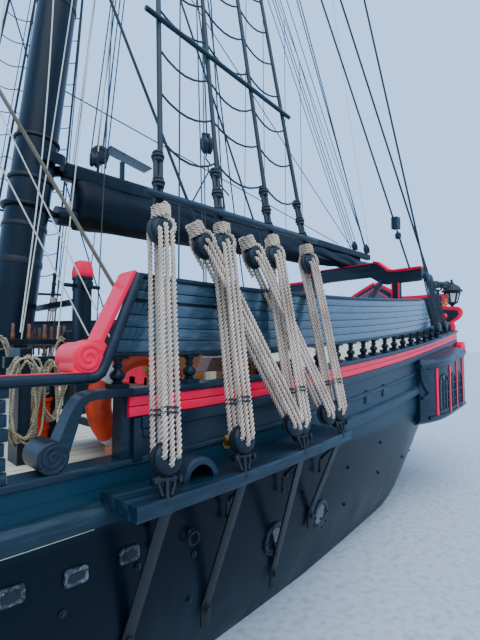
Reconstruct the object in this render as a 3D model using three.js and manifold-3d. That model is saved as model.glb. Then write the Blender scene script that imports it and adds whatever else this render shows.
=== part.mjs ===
// A two-masted gaff topsail schooner of the late 1700s kind, at full size, afloat.
// Millimetres. +X is forward, +Y is to port, +Z is up, and z = 0 is the water.
import * as THREE from 'three';
import { mergeVertices } from 'three/addons/utils/BufferGeometryUtils.js';
import Module from 'manifold-3d';

const wasm = await Module();
wasm.setup();

// Driving dimensions
const GAP = 0.3;                 // air between two pieces that rest on each other
const HALF_BEAM = 3600;          // half breadth at the widest frame
const WIDEST_X = -2000;          // where the widest frame stands
const TRANSOM_X = -11700;        // foot of the transom
const TRANSOM_RAKE = 0.35;       // how far the transom leans aft for each millimetre of height
const STERN_FOOT_Z = 1150;       // lower edge of the transom
const STEM_X = 12450;            // last frame at the bow
const SIDING = 140;              // half thickness of keel, stem and sternpost
const WALE_Z = 1450;             // underside of the main wale
const WALE_DEPTH = 100;
const WALE_PROUD = 60;           // how far the wale stands out from the planking
const HULL_TOP_Z = 1640;         // underside of the deck planks at their edge
const DECK_Z = 1700;             // top of the waist deck
const SILL_Z = 1790;             // top of the covering board along the ship's side
const QUARTERDECK_Z = 2100;
const BREAK_X = -6600;           // step between the waist and the quarterdeck
const RAIL_Z = 2310;             // underside of the waist rail
const BAND_Z = 2060;             // underside of the painted band
const BAND_TOP_Z = 2190;
const SCREEN_Z = 2470;           // underside of the planked weather screen
const SCREEN_TOP_Z = 2970;
const ENTRY_FORE_X = -2680;      // the opening in the bulwark where people come aboard
const ENTRY_AFT_X = -3380;
const SCREEN_END_X = -9700;

const MAST_RAKE = 0.1068;        // masts lean aft by this much for each millimetre of height
const MAIN_X = -3639;            // main mast axis at deck height
const FORE_X = 5300;
const FORE_RAKE = 0.085;

// Frames of the hull: where each stands, its lowest point, its fullness and its hollow
const FRAMES = [
  // x, bottom z, fullness, hollow
  [TRANSOM_X, STERN_FOOT_Z, 2.2, 0.55],
  [-11100, 700, 2.0, 0.8],
  [-10400, -2750, 1.6, 4.0],
  [-8600, -2660, 3.0, 3.0],
  [-6000, -2560, 2.9, 2.0],
  [-2500, -2430, 2.7, 1.4],
  [1500, -2290, 2.7, 1.3],
  [5000, -2160, 2.3, 1.4],
  [8500, -2050, 1.9, 1.35],
  [10200, -1400, 1.5, 1.35],
  [11200, -100, 1.3, 1.2],
  [12000, 1350, 1.1, 1.0],
  [STEM_X, 2400, 1.1, 1.0],
];
const FRAME_ROOM = 1350;         // no two rings of the hull stand further apart
const spread = (a, b, steps) => Array.from({ length: steps + 1 }, (_, i) => a + (b - a) * i / steps);
const GRID = FRAMES.flatMap(([x], i) => {
  if (i === FRAMES.length - 1) return [x];
  const next = FRAMES[i + 1][0];
  return spread(x, next, Math.max(2, Math.round((next - x) / FRAME_ROOM))).slice(0, -1);
});

// Every long piece bends only at the grid's places, so that neighbours meet face to face
function bentAtGrid(curve) {
  const values = GRID.map(curve);
  return (x) => {
    let i = 0;
    while (i < GRID.length - 2 && x > GRID[i + 1]) i += 1;
    const t = (x - GRID[i]) / (GRID[i + 1] - GRID[i]);
    return values[i] + t * (values[i + 1] - values[i]);
  };
}
function between(x0, x1) {
  const [low, high] = [Math.min(x0, x1), Math.max(x0, x1)];
  const xs = [low, ...GRID.filter((x) => x > low + 1 && x < high - 1), high];
  return x0 < x1 ? xs : xs.toReversed();
}

// Level lines rise towards both ends; this is the rise over amidships
const rise = bentAtGrid((x) => {
  if (x < -3700) return 440 * ((-x - 3700) / 6700) ** 1.6;
  if (x > -1000) return 1100 * ((x + 1000) / 13500) ** 1.8;
  return 0;
});

// Half breadth of the ship's side at and above the wale
const side = bentAtGrid((x) => {
  if (x < WIDEST_X) return HALF_BEAM - 1300 * ((WIDEST_X - x) / 10000) ** 1.35;
  const t = Math.min((x - WIDEST_X) / 14600, 1);
  return HALF_BEAM * (1 - t ** 3.2) ** 0.75;
});

function frameAt(x) {
  let i = 0;
  while (i < FRAMES.length - 2 && x > FRAMES[i + 1][0]) i += 1;
  const [a, b] = [FRAMES[i], FRAMES[i + 1]];
  const t = (x - a[0]) / (b[0] - a[0]);
  const [, bottom, fullness, hollow] = a.map((value, k) => value + t * (b[k] - value));
  return { bottom, fullness, hollow };
}

// Half breadth of the hull at any place below the wale
function hullHalf(x, z) {
  const { bottom, fullness, hollow } = frameAt(x);
  const top = WALE_Z + rise(x);
  const f = THREE.MathUtils.clamp((z - bottom) / (top - bottom), 0, 1);
  return SIDING + (side(x) - SIDING) * (1 - (1 - f) ** fullness) ** hollow;
}

const transomShift = (z) => -TRANSOM_RAKE * (z - STERN_FOOT_Z);

// Paints
const paint = (color, roughness = 0.45, metalness = 0) =>
  new THREE.MeshStandardMaterial({ color, roughness, metalness });
const BLACK = paint(0x16222b);
const RED = paint(0xd21a26);
const DECK = paint(0xb99b73, 0.8);
const CREAM = paint(0xd9d0b4);
const CANVAS = paint(0x11161c, 0.9);
const TARRED = paint(0x2b2a28, 0.85);
const IRON = paint(0x24282b, 0.5, 0.6);
const BRONZE = paint(0x9c7a3c, 0.4, 0.8);

// Shape helpers
const at = (x, y, z) => new THREE.Vector3(x, y, z);

function toManifold(geometry) {
  const bare = geometry.clone();
  bare.deleteAttribute('normal');
  bare.deleteAttribute('uv');
  const merged = mergeVertices(bare, 0.001);
  return new wasm.Manifold(new wasm.Mesh({
    numProp: 3,
    vertProperties: new Float32Array(merged.attributes.position.array),
    triVerts: new Uint32Array(merged.index.array),
  }));
}

function toGeometry(manifold) {
  const mesh = manifold.getMesh();
  const geometry = new THREE.BufferGeometry();
  geometry.setAttribute('position', new THREE.BufferAttribute(mesh.vertProperties, 3));
  geometry.setIndex(new THREE.BufferAttribute(mesh.triVerts, 1));
  geometry.computeVertexNormals();
  return geometry;
}

const fuse = (...pieces) => toGeometry(pieces.flat(Infinity).map(toManifold).reduce((a, b) => a.add(b)));
const cut = (piece, ...tools) =>
  toGeometry(tools.flat(Infinity).map(toManifold).reduce((a, b) => a.subtract(b), toManifold(piece)));

function mirrored(geometry) {
  const copy = geometry.index ? geometry.clone() : mergeVertices(geometry, 0.001);
  copy.scale(1, -1, 1);
  const index = copy.index.array;
  for (let i = 0; i < index.length; i += 3) [index[i], index[i + 1]] = [index[i + 1], index[i]];
  copy.computeVertexNormals();
  return copy;
}

function box(x0, x1, y0, y1, z0, z1) {
  const geometry = new THREE.BoxGeometry(x1 - x0, y1 - y0, z1 - z0);
  return geometry.translate((x0 + x1) / 2, (y0 + y1) / 2, (z0 + z1) / 2);
}

const slabBetween = (x0, x1, ya, yb, z0, z1) => box(x0, x1, Math.min(ya, yb), Math.max(ya, yb), z0, z1);

// A round bar from a to b, with its facets placed alike on both sides of the ship
function rod(a, b, ra, rb = ra, sides = 6) {
  const way = b.clone().sub(a);
  const geometry = new THREE.CylinderGeometry(rb, ra, way.length(), sides);
  way.normalize();
  const across = Math.abs(way.y) > 0.999 ? at(1, 0, 0) : at(0, 1, 0).addScaledVector(way, -way.y).normalize();
  geometry.applyMatrix4(new THREE.Matrix4().makeBasis(across, way, across.clone().cross(way)));
  return geometry.translate(...a.clone().add(b).multiplyScalar(0.5).toArray());
}

// The hole of a bearing round a pin of radius r, with running room all round, also between its facets
const BORE_SIDES = 36;
const RUNNING = 0.4;
const bore = (a, b, r) => {
  const wide = (r + RUNNING) / Math.cos(Math.PI / BORE_SIDES);
  return rod(a, b, wide, wide, BORE_SIDES);
};

// A ring that runs round a raked spar of radius hold
const RING_STEPS = 20;
function runningRing(centre, rake, hold, r) {
  const inner = (hold + RUNNING) / Math.cos(Math.PI / RING_STEPS);
  return new THREE.TorusGeometry(inner + r, r, 6, RING_STEPS)
    .rotateY(-Math.atan(rake)).translate(centre.x, centre.y, centre.z);
}

const ball = (c, r, wide = 8, high = 6) => new THREE.SphereGeometry(r, wide, high).translate(c.x, c.y, c.z);

function prism(points, axisU, axisV, start, end) {
  const shape = new THREE.Shape(points.map(([u, v]) => new THREE.Vector2(u, v)));
  const geometry = new THREE.ExtrudeGeometry(shape, { depth: end - start, bevelEnabled: false });
  const axisW = axisU.clone().cross(axisV);
  geometry.translate(0, 0, start);
  return geometry.applyMatrix4(new THREE.Matrix4().makeBasis(axisU, axisV, axisW));
}
// An outline of [x, z] points between two values of y, and one of [y, z] points between two of x
const slabY = (points, y0, y1) => prism(points, at(1, 0, 0), at(0, 0, 1), -y1, -y0);
const slabX = (points, x0, x1) => prism(points, at(0, 1, 0), at(0, 0, 1), x0, x1);

// A closed body through rings of equal counts of points, with flat ends
function loft(rings) {
  const count = rings[0].length;
  const positions = rings.flat().flatMap((p) => [p.x, p.y, p.z]);
  const index = [];
  for (let i = 0; i < rings.length - 1; i += 1) {
    for (let j = 0; j < count; j += 1) {
      const [a, b] = [i * count + j, i * count + (j + 1) % count];
      const starboard = rings[i][j].y + rings[i][(j + 1) % count].y < 0;
      if (starboard) index.push(a, b, b + count, a, b + count, a + count);
      else index.push(a, b, a + count, b, b + count, a + count);
    }
  }
  for (const [ring, base, flip] of [[rings[0], 0, true], [rings.at(-1), (rings.length - 1) * count, false]]) {
    const flat = ring.map((p) => new THREE.Vector2(p.y, p.z));
    if (Math.abs(THREE.ShapeUtils.area(flat)) < 1) flat.forEach((v, k) => v.set(ring[k].x, ring[k].y));
    const turned = THREE.ShapeUtils.area(flat) < 0;
    for (const [a, b, c] of THREE.ShapeUtils.triangulateShape(flat, [])) {
      index.push(...(flip !== turned ? [base + a, base + c, base + b] : [base + a, base + b, base + c]));
    }
  }
  const geometry = new THREE.BufferGeometry();
  geometry.setAttribute('position', new THREE.Float32BufferAttribute(positions, 3));
  geometry.setIndex(index);
  if (volume(geometry) < 0) {
    for (let i = 0; i < index.length; i += 3) [index[i], index[i + 1]] = [index[i + 1], index[i]];
    geometry.setIndex(index);
  }
  geometry.computeVertexNormals();
  return geometry;
}

function volume(geometry) {
  const [p, index] = [geometry.attributes.position, geometry.index.array];
  const corner = (k) => at(p.getX(index[k]), p.getY(index[k]), p.getZ(index[k]));
  let sum = 0;
  for (let i = 0; i < index.length; i += 3) sum += corner(i).dot(corner(i + 1).cross(corner(i + 2)));
  return sum / 6;
}

// A plank-like wall along the port side from x0 to x1, between two heights and two breadths.
// Heights are given amidships and rise with the sheer; lean shifts each end along x with height.
const upright = () => 0;
function strake(x0, x1, low, high, outer, inner, lean0 = upright, lean1 = upright) {
  return loft(between(x0, x1).map((x, i, xs) => {
    const lean = i === 0 ? lean0 : i === xs.length - 1 ? lean1 : upright;
    const [z0, z1] = [low + rise(x), high + rise(x)];
    return [
      at(x + lean(z0), side(x) + outer, z0), at(x + lean(z1), side(x) + outer, z1),
      at(x + lean(z1), side(x) + inner, z1), at(x + lean(z0), side(x) + inner, z0),
    ];
  }));
}

const ship = new THREE.Group();
function add(name, geometry, material) {
  const mesh = new THREE.Mesh(geometry, material);
  mesh.name = name;
  ship.add(mesh);
}
function addPair(name, geometry, material) {
  add(`${name}_port`, geometry, material);
  add(`${name}_starboard`, mirrored(geometry), material);
}

// Hull: solid to the deck, with the wale and a covering board that stands round a well for the planks
const HULL_STEPS = [0, 0.04, 0.1, 0.18, 0.28, 0.4, 0.52, 0.64, 0.76, 0.88];
const BOARD_WIDTH = 200;
function hullRing(x, grow = 0) {
  const { bottom } = frameAt(x);
  const top = WALE_Z + rise(x);
  const up = rise(x);
  const inner = Math.max(side(x) - BOARD_WIDTH, 40);
  const half = HULL_STEPS.map((f) => {
    const z = bottom + f * (top - bottom);
    return [hullHalf(x, z), z];
  });
  half.push(
    [side(x), WALE_Z + up], [side(x) + WALE_PROUD, WALE_Z + 12 + up],
    [side(x) + WALE_PROUD, WALE_Z + WALE_DEPTH - 8 + up], [side(x), WALE_Z + WALE_DEPTH + up],
    [side(x), SILL_Z + up], [inner, SILL_Z + up], [inner, HULL_TOP_Z + up],
  );
  const lean = x === TRANSOM_X ? transomShift : () => 0;
  const port = half.map(([y, z]) => at(x + lean(z), y + grow, z));
  return [...port, ...port.toReversed().map((p) => at(p.x, -p.y, p.z))];
}
const SCREW = { x0: -10330, x1: -9780, z0: -2150, z1: -950 };
const SCREW_Z = (SCREW.z0 + SCREW.z1) / 2;
const screwSpace = box(SCREW.x0, SCREW.x1, -900, 900, SCREW.z0, SCREW.z1);
const SHAFT_R = 55;
const shaftHole = bore(at(SCREW.x1 - 50, 0, SCREW_Z), at(SCREW.x1 + 300, 0, SCREW_Z), SHAFT_R);
// A thin tread plate on each covering board, where a gangway rests in the entry
const TREAD = { x0: -3350, x1: -3060, y0: 3360, y1: 3500, proud: 4 };
const tread = box(TREAD.x0, TREAD.x1, TREAD.y0, TREAD.y1, SILL_Z - 10, SILL_Z + TREAD.proud);
add('hull', cut(fuse(loft(GRID.map((x) => hullRing(x))), tread, mirrored(tread)), screwSpace, shaftHole), BLACK);

// Keel, stem and sternpost in one band round the hull's profile
const profile = FRAMES.slice(1).map(([x, z]) => [x, z]);
profile.push([STEM_X, SILL_Z + rise(STEM_X)], [12600, 3560]);
const BAND_DEEP = 330;
const profileBand = profile.map(([x, z], i) => {
  const [a, b] = [profile[Math.max(i - 1, 0)], profile[Math.min(i + 1, profile.length - 1)]];
  const n = new THREE.Vector2(b[1] - a[1], a[0] - b[0]).normalize();
  const off = (d) => [x + n.x * d, z + n.y * d];
  return { inner: off(GAP * 2), outer: (grow) => off(BAND_DEEP + grow) };
});
const SPRIT = { heel: at(9300, 0, 2750), head: at(19200, 0, 5450) };
const spritWay = SPRIT.head.clone().sub(SPRIT.heel).normalize();
const spritAt = (s) => SPRIT.heel.clone().addScaledVector(spritWay, s);
const spritUp = at(-spritWay.z, 0, spritWay.x);
const spritRod = (grow) => rod(SPRIT.heel, SPRIT.head, 210 + grow, 150 + grow, 16);
const backbone = (grow) => slabY([
  ...profileBand.map((p) => p.inner), ...profileBand.toReversed().map((p) => p.outer(grow)),
], -SIDING - grow, SIDING + grow);

// The rudder turns on a stock behind the sternpost, in gudgeons that stand out from the post
const POST = { foot: at(-10400, 0, -2750), head: at(-11100, 0, 700) };
const postWay = POST.head.clone().sub(POST.foot).normalize();
const postAft = at(-postWay.z, 0, postWay.x);
const RUDDER = { low: 120, high: 3380, stock: 72, off: 90, chordLow: 1250, chordHigh: 700 };
const rudderAxis = (s) =>
  POST.foot.clone().addScaledVector(postWay, s).addScaledVector(postAft, BAND_DEEP + RUDDER.off);
const GUDGEON = { places: [420, 1650, 2900], long: 130, r: 118, room: 20, half: 62 };
const gudgeon = (s) => {
  const [a, b] = [rudderAxis(s), rudderAxis(s + GUDGEON.long)];
  const inPost = [a, b].map((p) => p.clone().addScaledVector(postAft, -RUDDER.off - 60));
  return [
    rod(a, b, GUDGEON.r, GUDGEON.r, 12),
    slabY([a, b, inPost[1], inPost[0]].map((p) => [p.x, p.z]), -GUDGEON.half, GUDGEON.half),
  ];
};
add('keel_and_stem', cut(fuse(cut(backbone(0), spritRod(GAP)), GUDGEON.places.map(gudgeon)),
  bore(rudderAxis(0), rudderAxis(3400), RUDDER.stock)), BLACK);

// Head knee under the bowsprit, with a scroll at its tip and a rail on each side
const KNEE_HALF = 110;
add('head_knee', cut(fuse(
  slabY([
    [12500, 1500], [12900, 1750], [13300, 2250], [13900, 2900], [14450, 3450], [14300, 3650], [13700, 3640],
    [12900, 3430], [12650, 2900],
  ], -KNEE_HALF, KNEE_HALF),
  rod(at(14420, -KNEE_HALF - 40, 3470), at(14420, KNEE_HALF + 40, 3470), 190, 190, 14),
), backbone(GAP * 2), spritRod(GAP)), BLACK);

// Rudder, with room round each gudgeon
const bladePoint = (s, chord) => {
  const p = rudderAxis(s).addScaledVector(postAft, chord);
  return [p.x, p.z];
};
const rudderBlade = cut(slabY([
  bladePoint(RUDDER.low, 0), bladePoint(RUDDER.low, RUDDER.chordLow), bladePoint(1500, 1150),
  bladePoint(2700, RUDDER.chordHigh), bladePoint(RUDDER.high, 520), bladePoint(RUDDER.high, 0),
], -55, 55), GUDGEON.places.map((s) => rod(rudderAxis(s - GUDGEON.room),
  rudderAxis(s + GUDGEON.long + GUDGEON.room), GUDGEON.r + GUDGEON.room, GUDGEON.r + GUDGEON.room, 12)));
add('rudder', fuse(
  rod(rudderAxis(RUDDER.low), rudderAxis(RUDDER.high), RUDDER.stock, RUDDER.stock, 12), rudderBlade,
), BLACK);

// Screw in its opening ahead of the sternpost
const SCREW_X = (SCREW.x0 + SCREW.x1) / 2 + 20;
function screwBlade(turn) {
  const blade = box(-22, 22, -130, 130, 60, 520);
  blade.rotateZ(0.6);
  blade.rotateX(turn);
  return blade.translate(SCREW_X, 0, SCREW_Z);
}
add('screw', fuse(
  rod(at(SCREW_X - 120, 0, SCREW_Z), at(SCREW_X + 110, 0, SCREW_Z), 60, 95, 12),
  rod(at(SCREW_X + 90, 0, SCREW_Z), at(SCREW.x1 + 290, 0, SCREW_Z), SHAFT_R, SHAFT_R, 12),
  [0, 1, 2].map((k) => screwBlade(k * Math.PI * 2 / 3)),
), BRONZE);

// Decks
function deckPlate(x0, x1, low, high, edge) {
  const camber = 60;
  return loft(between(x0, x1).map((x) => {
    const half = Math.max(side(x) - BOARD_WIDTH, 40) - edge;
    const lean = x === TRANSOM_X ? transomShift : () => 0;
    const spots = [[half, low], [half, high], [half * 0.5, high + camber], [0, high + camber * 1.3]];
    const port = spots.map(([y, z]) => at(x + lean(z + rise(x)), y, z + rise(x)));
    return [...port, ...port.slice(0, 3).toReversed().map((p) => at(p.x, -p.y, p.z))];
  }));
}
add('waist_deck', deckPlate(BREAK_X + 1, 12200, HULL_TOP_Z + GAP, DECK_Z, 2), DECK);
add('quarterdeck', deckPlate(BREAK_X - GAP, TRANSOM_X, HULL_TOP_Z + GAP, QUARTERDECK_Z, 14), CREAM);

// What stands on a deck is cut to its camber by the space below the planks
const underWaist = deckPlate(BREAK_X + 1, 12200, 600, DECK_Z + GAP, 2);
const underQuarterdeck = deckPlate(BREAK_X - GAP, TRANSOM_X, 600, QUARTERDECK_Z + GAP, 14);
const onWaist = (...pieces) => cut(fuse(pieces), underWaist);
const onQuarterdeck = (...pieces) => cut(fuse(pieces), underQuarterdeck);
const waistZ = (x) => DECK_Z + rise(x);
const quarterZ = (x) => QUARTERDECK_Z + rise(x);

// Bulwark from the entry to the bow, and the works of the quarter from the entry to the transom
addPair('waist_bulwark', fuse(
  strake(ENTRY_FORE_X, 12380, SILL_Z + GAP, RAIL_Z + 10, 0, -90),
  strake(ENTRY_FORE_X, 12380, RAIL_Z, RAIL_Z + 60, 40, -150),
), BLACK);

// The entry's black console scroll stands on the sill; a painted volute ends the sloped screen
const CONSOLE = { x: -2922, z: SILL_Z + 96, r: 92 };
const VOLUTE = { x: -3120, z: 2440, r: 97 };
const ENTRY_BAR = { end: -3190, z: RAIL_Z + 12, r: 34 };   // the rail's bar runs on over the entry
const SWIVEL = { x: -11250, z: 3650, inboard: 130 };
const QUARTER_BOARD = { x0: -9950, x1: -10950, z: BAND_TOP_Z + 50 };
const STAY_BAR_R = 30;
const quarterFoot = (x) => at(x, side(x) + 150, QUARTER_BOARD.z + rise(x) + STAY_BAR_R + GAP * 2);
const screenFore = (z) => -0.3 * (z - SCREEN_Z);
const screenAft = (z) => 0.9 * (z - SCREEN_Z - rise(SCREEN_END_X)) - 450;
const BALUSTER_PITCH = 400;
const BALUSTERS = 18;
addPair('quarter_bulwark', fuse(
  strake(ENTRY_AFT_X, TRANSOM_X, SILL_Z + GAP, BAND_Z + 10, 0, -110, undefined, transomShift),
  strake(ENTRY_AFT_X, TRANSOM_X, BAND_Z, BAND_TOP_Z, 25, -60, undefined, transomShift),
  strake(ENTRY_AFT_X + 60, TRANSOM_X, BAND_TOP_Z - 10, BAND_TOP_Z + 55, 45, -120, undefined, transomShift),
  Array.from({ length: BALUSTERS }, (_, i) => {
    const x = ENTRY_AFT_X - 20 - i * BALUSTER_PITCH;
    const foot = BAND_TOP_Z + rise(x);
    return rod(at(x, side(x) - 45, foot), at(x, side(x) - 45, foot + 300), 50, 50, 4);
  }),
  strake(ENTRY_AFT_X + 80, SCREEN_END_X, SCREEN_Z, SCREEN_TOP_Z, 0, -70, screenFore, screenAft),
  strake(ENTRY_AFT_X - 80, SCREEN_END_X + 200, SCREEN_TOP_Z - 10, SCREEN_TOP_Z + 30, 30, -110),
  slabY([
    [-2930, 1885], [-2925, 1935], [-2962, 1985], [-3005, 2170], [-3060, 2225], [-3140, 2242],
    [-3350, 2242], [-3350, 2190], [-3150, 2185], [-3100, 2120], [-3057, 2000], [-3010, 1900],
  ], side(-3000) - 120, side(-3000) + 10),
  rod(at(CONSOLE.x, side(-3000) - 230, CONSOLE.z), at(CONSOLE.x, side(-3000) + 20, CONSOLE.z),
    CONSOLE.r, CONSOLE.r, 14),
  rod(at(VOLUTE.x, side(-3100) - 240, VOLUTE.z), at(VOLUTE.x, side(-3100) + 10, VOLUTE.z),
    VOLUTE.r, VOLUTE.r, 14),
  slabY([
    [-3060, 2330], [-3120, 2480], [-3340, 3000], [-3480, 3000], [-3480, 2940], [-3330, 2540], [-3270, 2480],
    [-3290, 2330],
  ], side(-3200) - 180, side(-3200) + 10),
  strake(ENTRY_FORE_X - GAP, ENTRY_BAR.end, ENTRY_BAR.z - ENTRY_BAR.r, ENTRY_BAR.z + ENTRY_BAR.r,
    5 + ENTRY_BAR.r, 5 - ENTRY_BAR.r),
  strake(QUARTER_BOARD.x0, QUARTER_BOARD.x1, QUARTER_BOARD.z - 60, QUARTER_BOARD.z, 200, 0),
  rod(at(SWIVEL.x, side(SWIVEL.x) - SWIVEL.inboard, BAND_TOP_Z - 60 + rise(SWIVEL.x)),
    at(SWIVEL.x, side(SWIVEL.x) - SWIVEL.inboard, SWIVEL.z - 85 - GAP), 80, 60, 8),
), BLACK);

// Transom with its taffrail
const sternHalf = side(TRANSOM_X);
const transomOutline = [
  ...spread(STERN_FOOT_Z, WALE_Z + rise(TRANSOM_X), 4).map((z) => [hullHalf(TRANSOM_X, z), z]),
  [sternHalf + 60, 2300], [sternHalf + 60, 2900], [sternHalf - 60, 3350], [sternHalf - 500, 3600],
  [1100, 3700], [700, 3720], [0, 4180],
];
const transom = slabX([
  ...transomOutline, ...transomOutline.toReversed().slice(1).map(([y, z]) => [-y, z]),
], TRANSOM_X - 120 - GAP, TRANSOM_X - GAP * 2);
const lean = new THREE.Matrix4().makeShear(0, 0, 0, 0, -TRANSOM_RAKE, 0);
transom.translate(0, 0, -STERN_FOOT_Z).applyMatrix4(lean).translate(0, 0, STERN_FOOT_Z);

// A lantern on a bracket at each corner of the taffrail
const LANTERN = { x: -12780, y: 2000, z: 3440, inTransom: 330 };
const lanternAt = (up) => at(LANTERN.x, LANTERN.y, LANTERN.z + up);
const lantern = [
  rod(lanternAt(-400).add(at(LANTERN.inTransom, 0, 0)), lanternAt(20), 60, 50, 8),
  rod(lanternAt(0), lanternAt(90), 60, 60, 8),
  rod(lanternAt(80), lanternAt(390), 110, 180, 8),
  rod(lanternAt(380), lanternAt(560), 235, 70, 8),
  rod(lanternAt(550), lanternAt(680), 30, 20, 8),
];
add('transom', fuse(transom, lantern, lantern.map(mirrored)), BLACK);

// Quarter galleries, cut to the ship's side
const GALLERY = { x0: -9100, x1: -11350, outs: [60, 230, 300, 320, 320, 320, 320], low: 1250, high: 2250 };
const grownSide = fuse(
  loft(GRID.map((x) => hullRing(x, GAP * 2))),
  strake(-8500, TRANSOM_X, SILL_Z - 100, BAND_Z + 100, GAP * 2, -400),
);
addPair('quarter_gallery', cut(loft(spread(GALLERY.x0, GALLERY.x1, 6).map((x, i) => {
  const out = side(x) + GALLERY.outs[i];
  const inner = side(x) - 100;
  const [foot, top] = [GALLERY.low + i * 12, GALLERY.high + rise(x) - rise(GALLERY.x0)];
  return [at(x, inner, 1500), at(x, inner - 400, foot - 100), at(x, out - 90, foot), at(x, out, foot + 110), at(x, out, top - 90),
    at(x, out + 50, top - 60), at(x, out + 40, top), at(x, side(x) + 40, top + 50), at(x, inner, top + 50)];
})), grownSide), BLACK);

// Channels with their straps and lower deadeyes
const MASTS = {
  // axis foot, rake, crosstrees z, lower head z, truck z, radius at the deck, at the crosstrees, of the topmast
  main: { foot: MAIN_X, rake: MAST_RAKE, trees: 18900, head: 20900, truck: 30600, r0: 275, r1: 205, rt: 130 },
  fore: { foot: FORE_X, rake: FORE_RAKE, trees: 17600, head: 19500, truck: 28600, r0: 260, r1: 200, rt: 125 },
};
const mastAt = ({ foot, rake }, z) => at(foot - rake * (z - DECK_Z), 0, z);
const MAST_FOOT_Z = DECK_Z - 100;
const mastRadius = ({ r0, r1, trees }, z) => r0 + (r1 - r0) * (z - MAST_FOOT_Z) / (trees - MAST_FOOT_Z);
const mastPole = (mast, grow) =>
  rod(mastAt(mast, MAST_FOOT_Z), mastAt(mast, mast.trees), mast.r0 + grow, mast.r1 + grow, 16);
const CHANNEL_Z = WALE_Z + WALE_DEPTH;
const CHANNEL_THICK = 90;
const DEADEYE_R = 98;
// Each gang: channel ends, and for each shroud its x at the channel and the height of its lower deadeye
const GANGS = {
  main: { x0: -3220, x1: -5760, proud: 415, xs: [-3460, -4150, -4910, -5580] },
  fore: { x0: 4750, x1: 2350, proud: 415, xs: [4500, 3850, 3200, 2600] },
};
const LOWER_Z = 1850;
const UPPER_Z = 3300;
const footOf = (gang, x) => at(x, side(x) + gang.proud - 60, LOWER_Z + rise(x));
function deadeye(c, way) {
  const flat = way.clone().cross(at(1, 0, 0)).normalize();
  return rod(c.clone().addScaledVector(flat, -50), c.clone().addScaledVector(flat, 50),
    DEADEYE_R, DEADEYE_R, 8);
}
for (const [name, gang] of Object.entries(GANGS)) {
  const mast = MASTS[name];
  const hounds = mastAt(mast, mast.trees - 200);
  const board = loft(between(gang.x0, gang.x1).map((x) => [
    at(x, side(x) + GAP * 4, CHANNEL_Z + GAP + rise(x)), at(x, side(x) + gang.proud, CHANNEL_Z + GAP + rise(x)),
    at(x, side(x) + gang.proud, CHANNEL_Z + CHANNEL_THICK + rise(x)),
    at(x, side(x) + GAP * 4, CHANNEL_Z + CHANNEL_THICK + rise(x)),
  ]));
  const fittings = gang.xs.flatMap((x) => {
    const foot = footOf(gang, x);
    const way = hounds.clone().sub(foot).normalize();
    const strapFoot = at(x, hullHalf(x, 600) + 42, 600);
    return [
      deadeye(foot, way),
      rod(at(x, foot.y, CHANNEL_Z + 40 + rise(x)), foot, 34, 34, 4),
      rod(at(x, foot.y, CHANNEL_Z + 40 + rise(x)), strapFoot, 28, 28, 4),
    ];
  });
  addPair(`${name}_channel`, fuse(board, fittings), BLACK);

  const shrouds = gang.xs.flatMap((x) => {
    const foot = footOf(gang, x);
    const way = hounds.clone().sub(foot).normalize();
    const upper = foot.clone().addScaledVector(way, (UPPER_Z - LOWER_Z) / way.z);
    return [
      deadeye(upper, way),
      rod(foot.clone().addScaledVector(way, DEADEYE_R + 1), upper, 45, 45, 4),
      rod(upper, hounds.clone().add(at(0, mast.r1 + 20, 0)), 22, 22, 5),
    ];
  });
  const barAt = (x, up) => {
    const foot = footOf(gang, x);
    const way = hounds.clone().sub(foot).normalize();
    return foot.addScaledVector(way, up / way.z);
  };
  const bar = (up) => rod(barAt(gang.xs[0] + 180, up), barAt(gang.xs.at(-1) - 180, up), 26, 26, 6);
  const pad = cut(
    box(hounds.x - 170, hounds.x + 170, 60, mast.r1 + 55, hounds.z - 60, hounds.z + 60), mastPole(mast, GAP));
  addPair(`${name}_shrouds`, fuse(shrouds, bar(1700), pad), TARRED);
}

// Lower masts with crosstrees and cap, and topmasts held ahead of the masthead
const TOPMAST_OFF = 400;
const HEEL_DOWN = 120;           // the topmast's heel below the crosstrees
const TRUCK_TAPER = 0.45;
const topmastRadius = ({ rt, trees, truck }, z) =>
  rt * (1 - (1 - TRUCK_TAPER) * (z - trees + HEEL_DOWN) / (truck - trees + HEEL_DOWN));
for (const [name, mast] of Object.entries(MASTS)) {
  const { trees, head, truck, r1, rt } = mast;
  const [treesAt, headAt] = [mastAt(mast, trees), mastAt(mast, head)];
  const topAt = (z) => mastAt(mast, z).add(at(TOPMAST_OFF, 0, 0));
  const pole = (grow) => rod(topAt(trees - HEEL_DOWN), topAt(truck), rt + grow, rt * TRUCK_TAPER + grow, 12);
  const fidX = topAt(trees + 180).x;
  add(`${name}mast`, cut(onWaist(
    mastPole(mast, 0),
    rod(treesAt, headAt, r1 - 30, r1 - 50, 12),
    [-1, 1].map((s) => slabBetween(treesAt.x - 700, treesAt.x + 900, s * 190, s * 330, trees, trees + 130)),
    [-300, 580].map((dx) => box(treesAt.x + dx, treesAt.x + dx + 110, -900, 900, trees + 60, trees + 160)),
    box(treesAt.x - 100, treesAt.x + 100, -330, 330, trees + 20, trees + 130),
    box(headAt.x - 260, headAt.x + TOPMAST_OFF + 240, -190, 190, head - 150, head),
  ), pole(GAP)), BLACK);
  add(`${name}_topmast`, fuse(
    pole(0),
    box(fidX - 50, fidX + 50, -320, 320, trees + 130 + GAP, trees + 230),
    ball(topAt(truck), rt * 0.8),
  ), BLACK);
}

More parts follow.
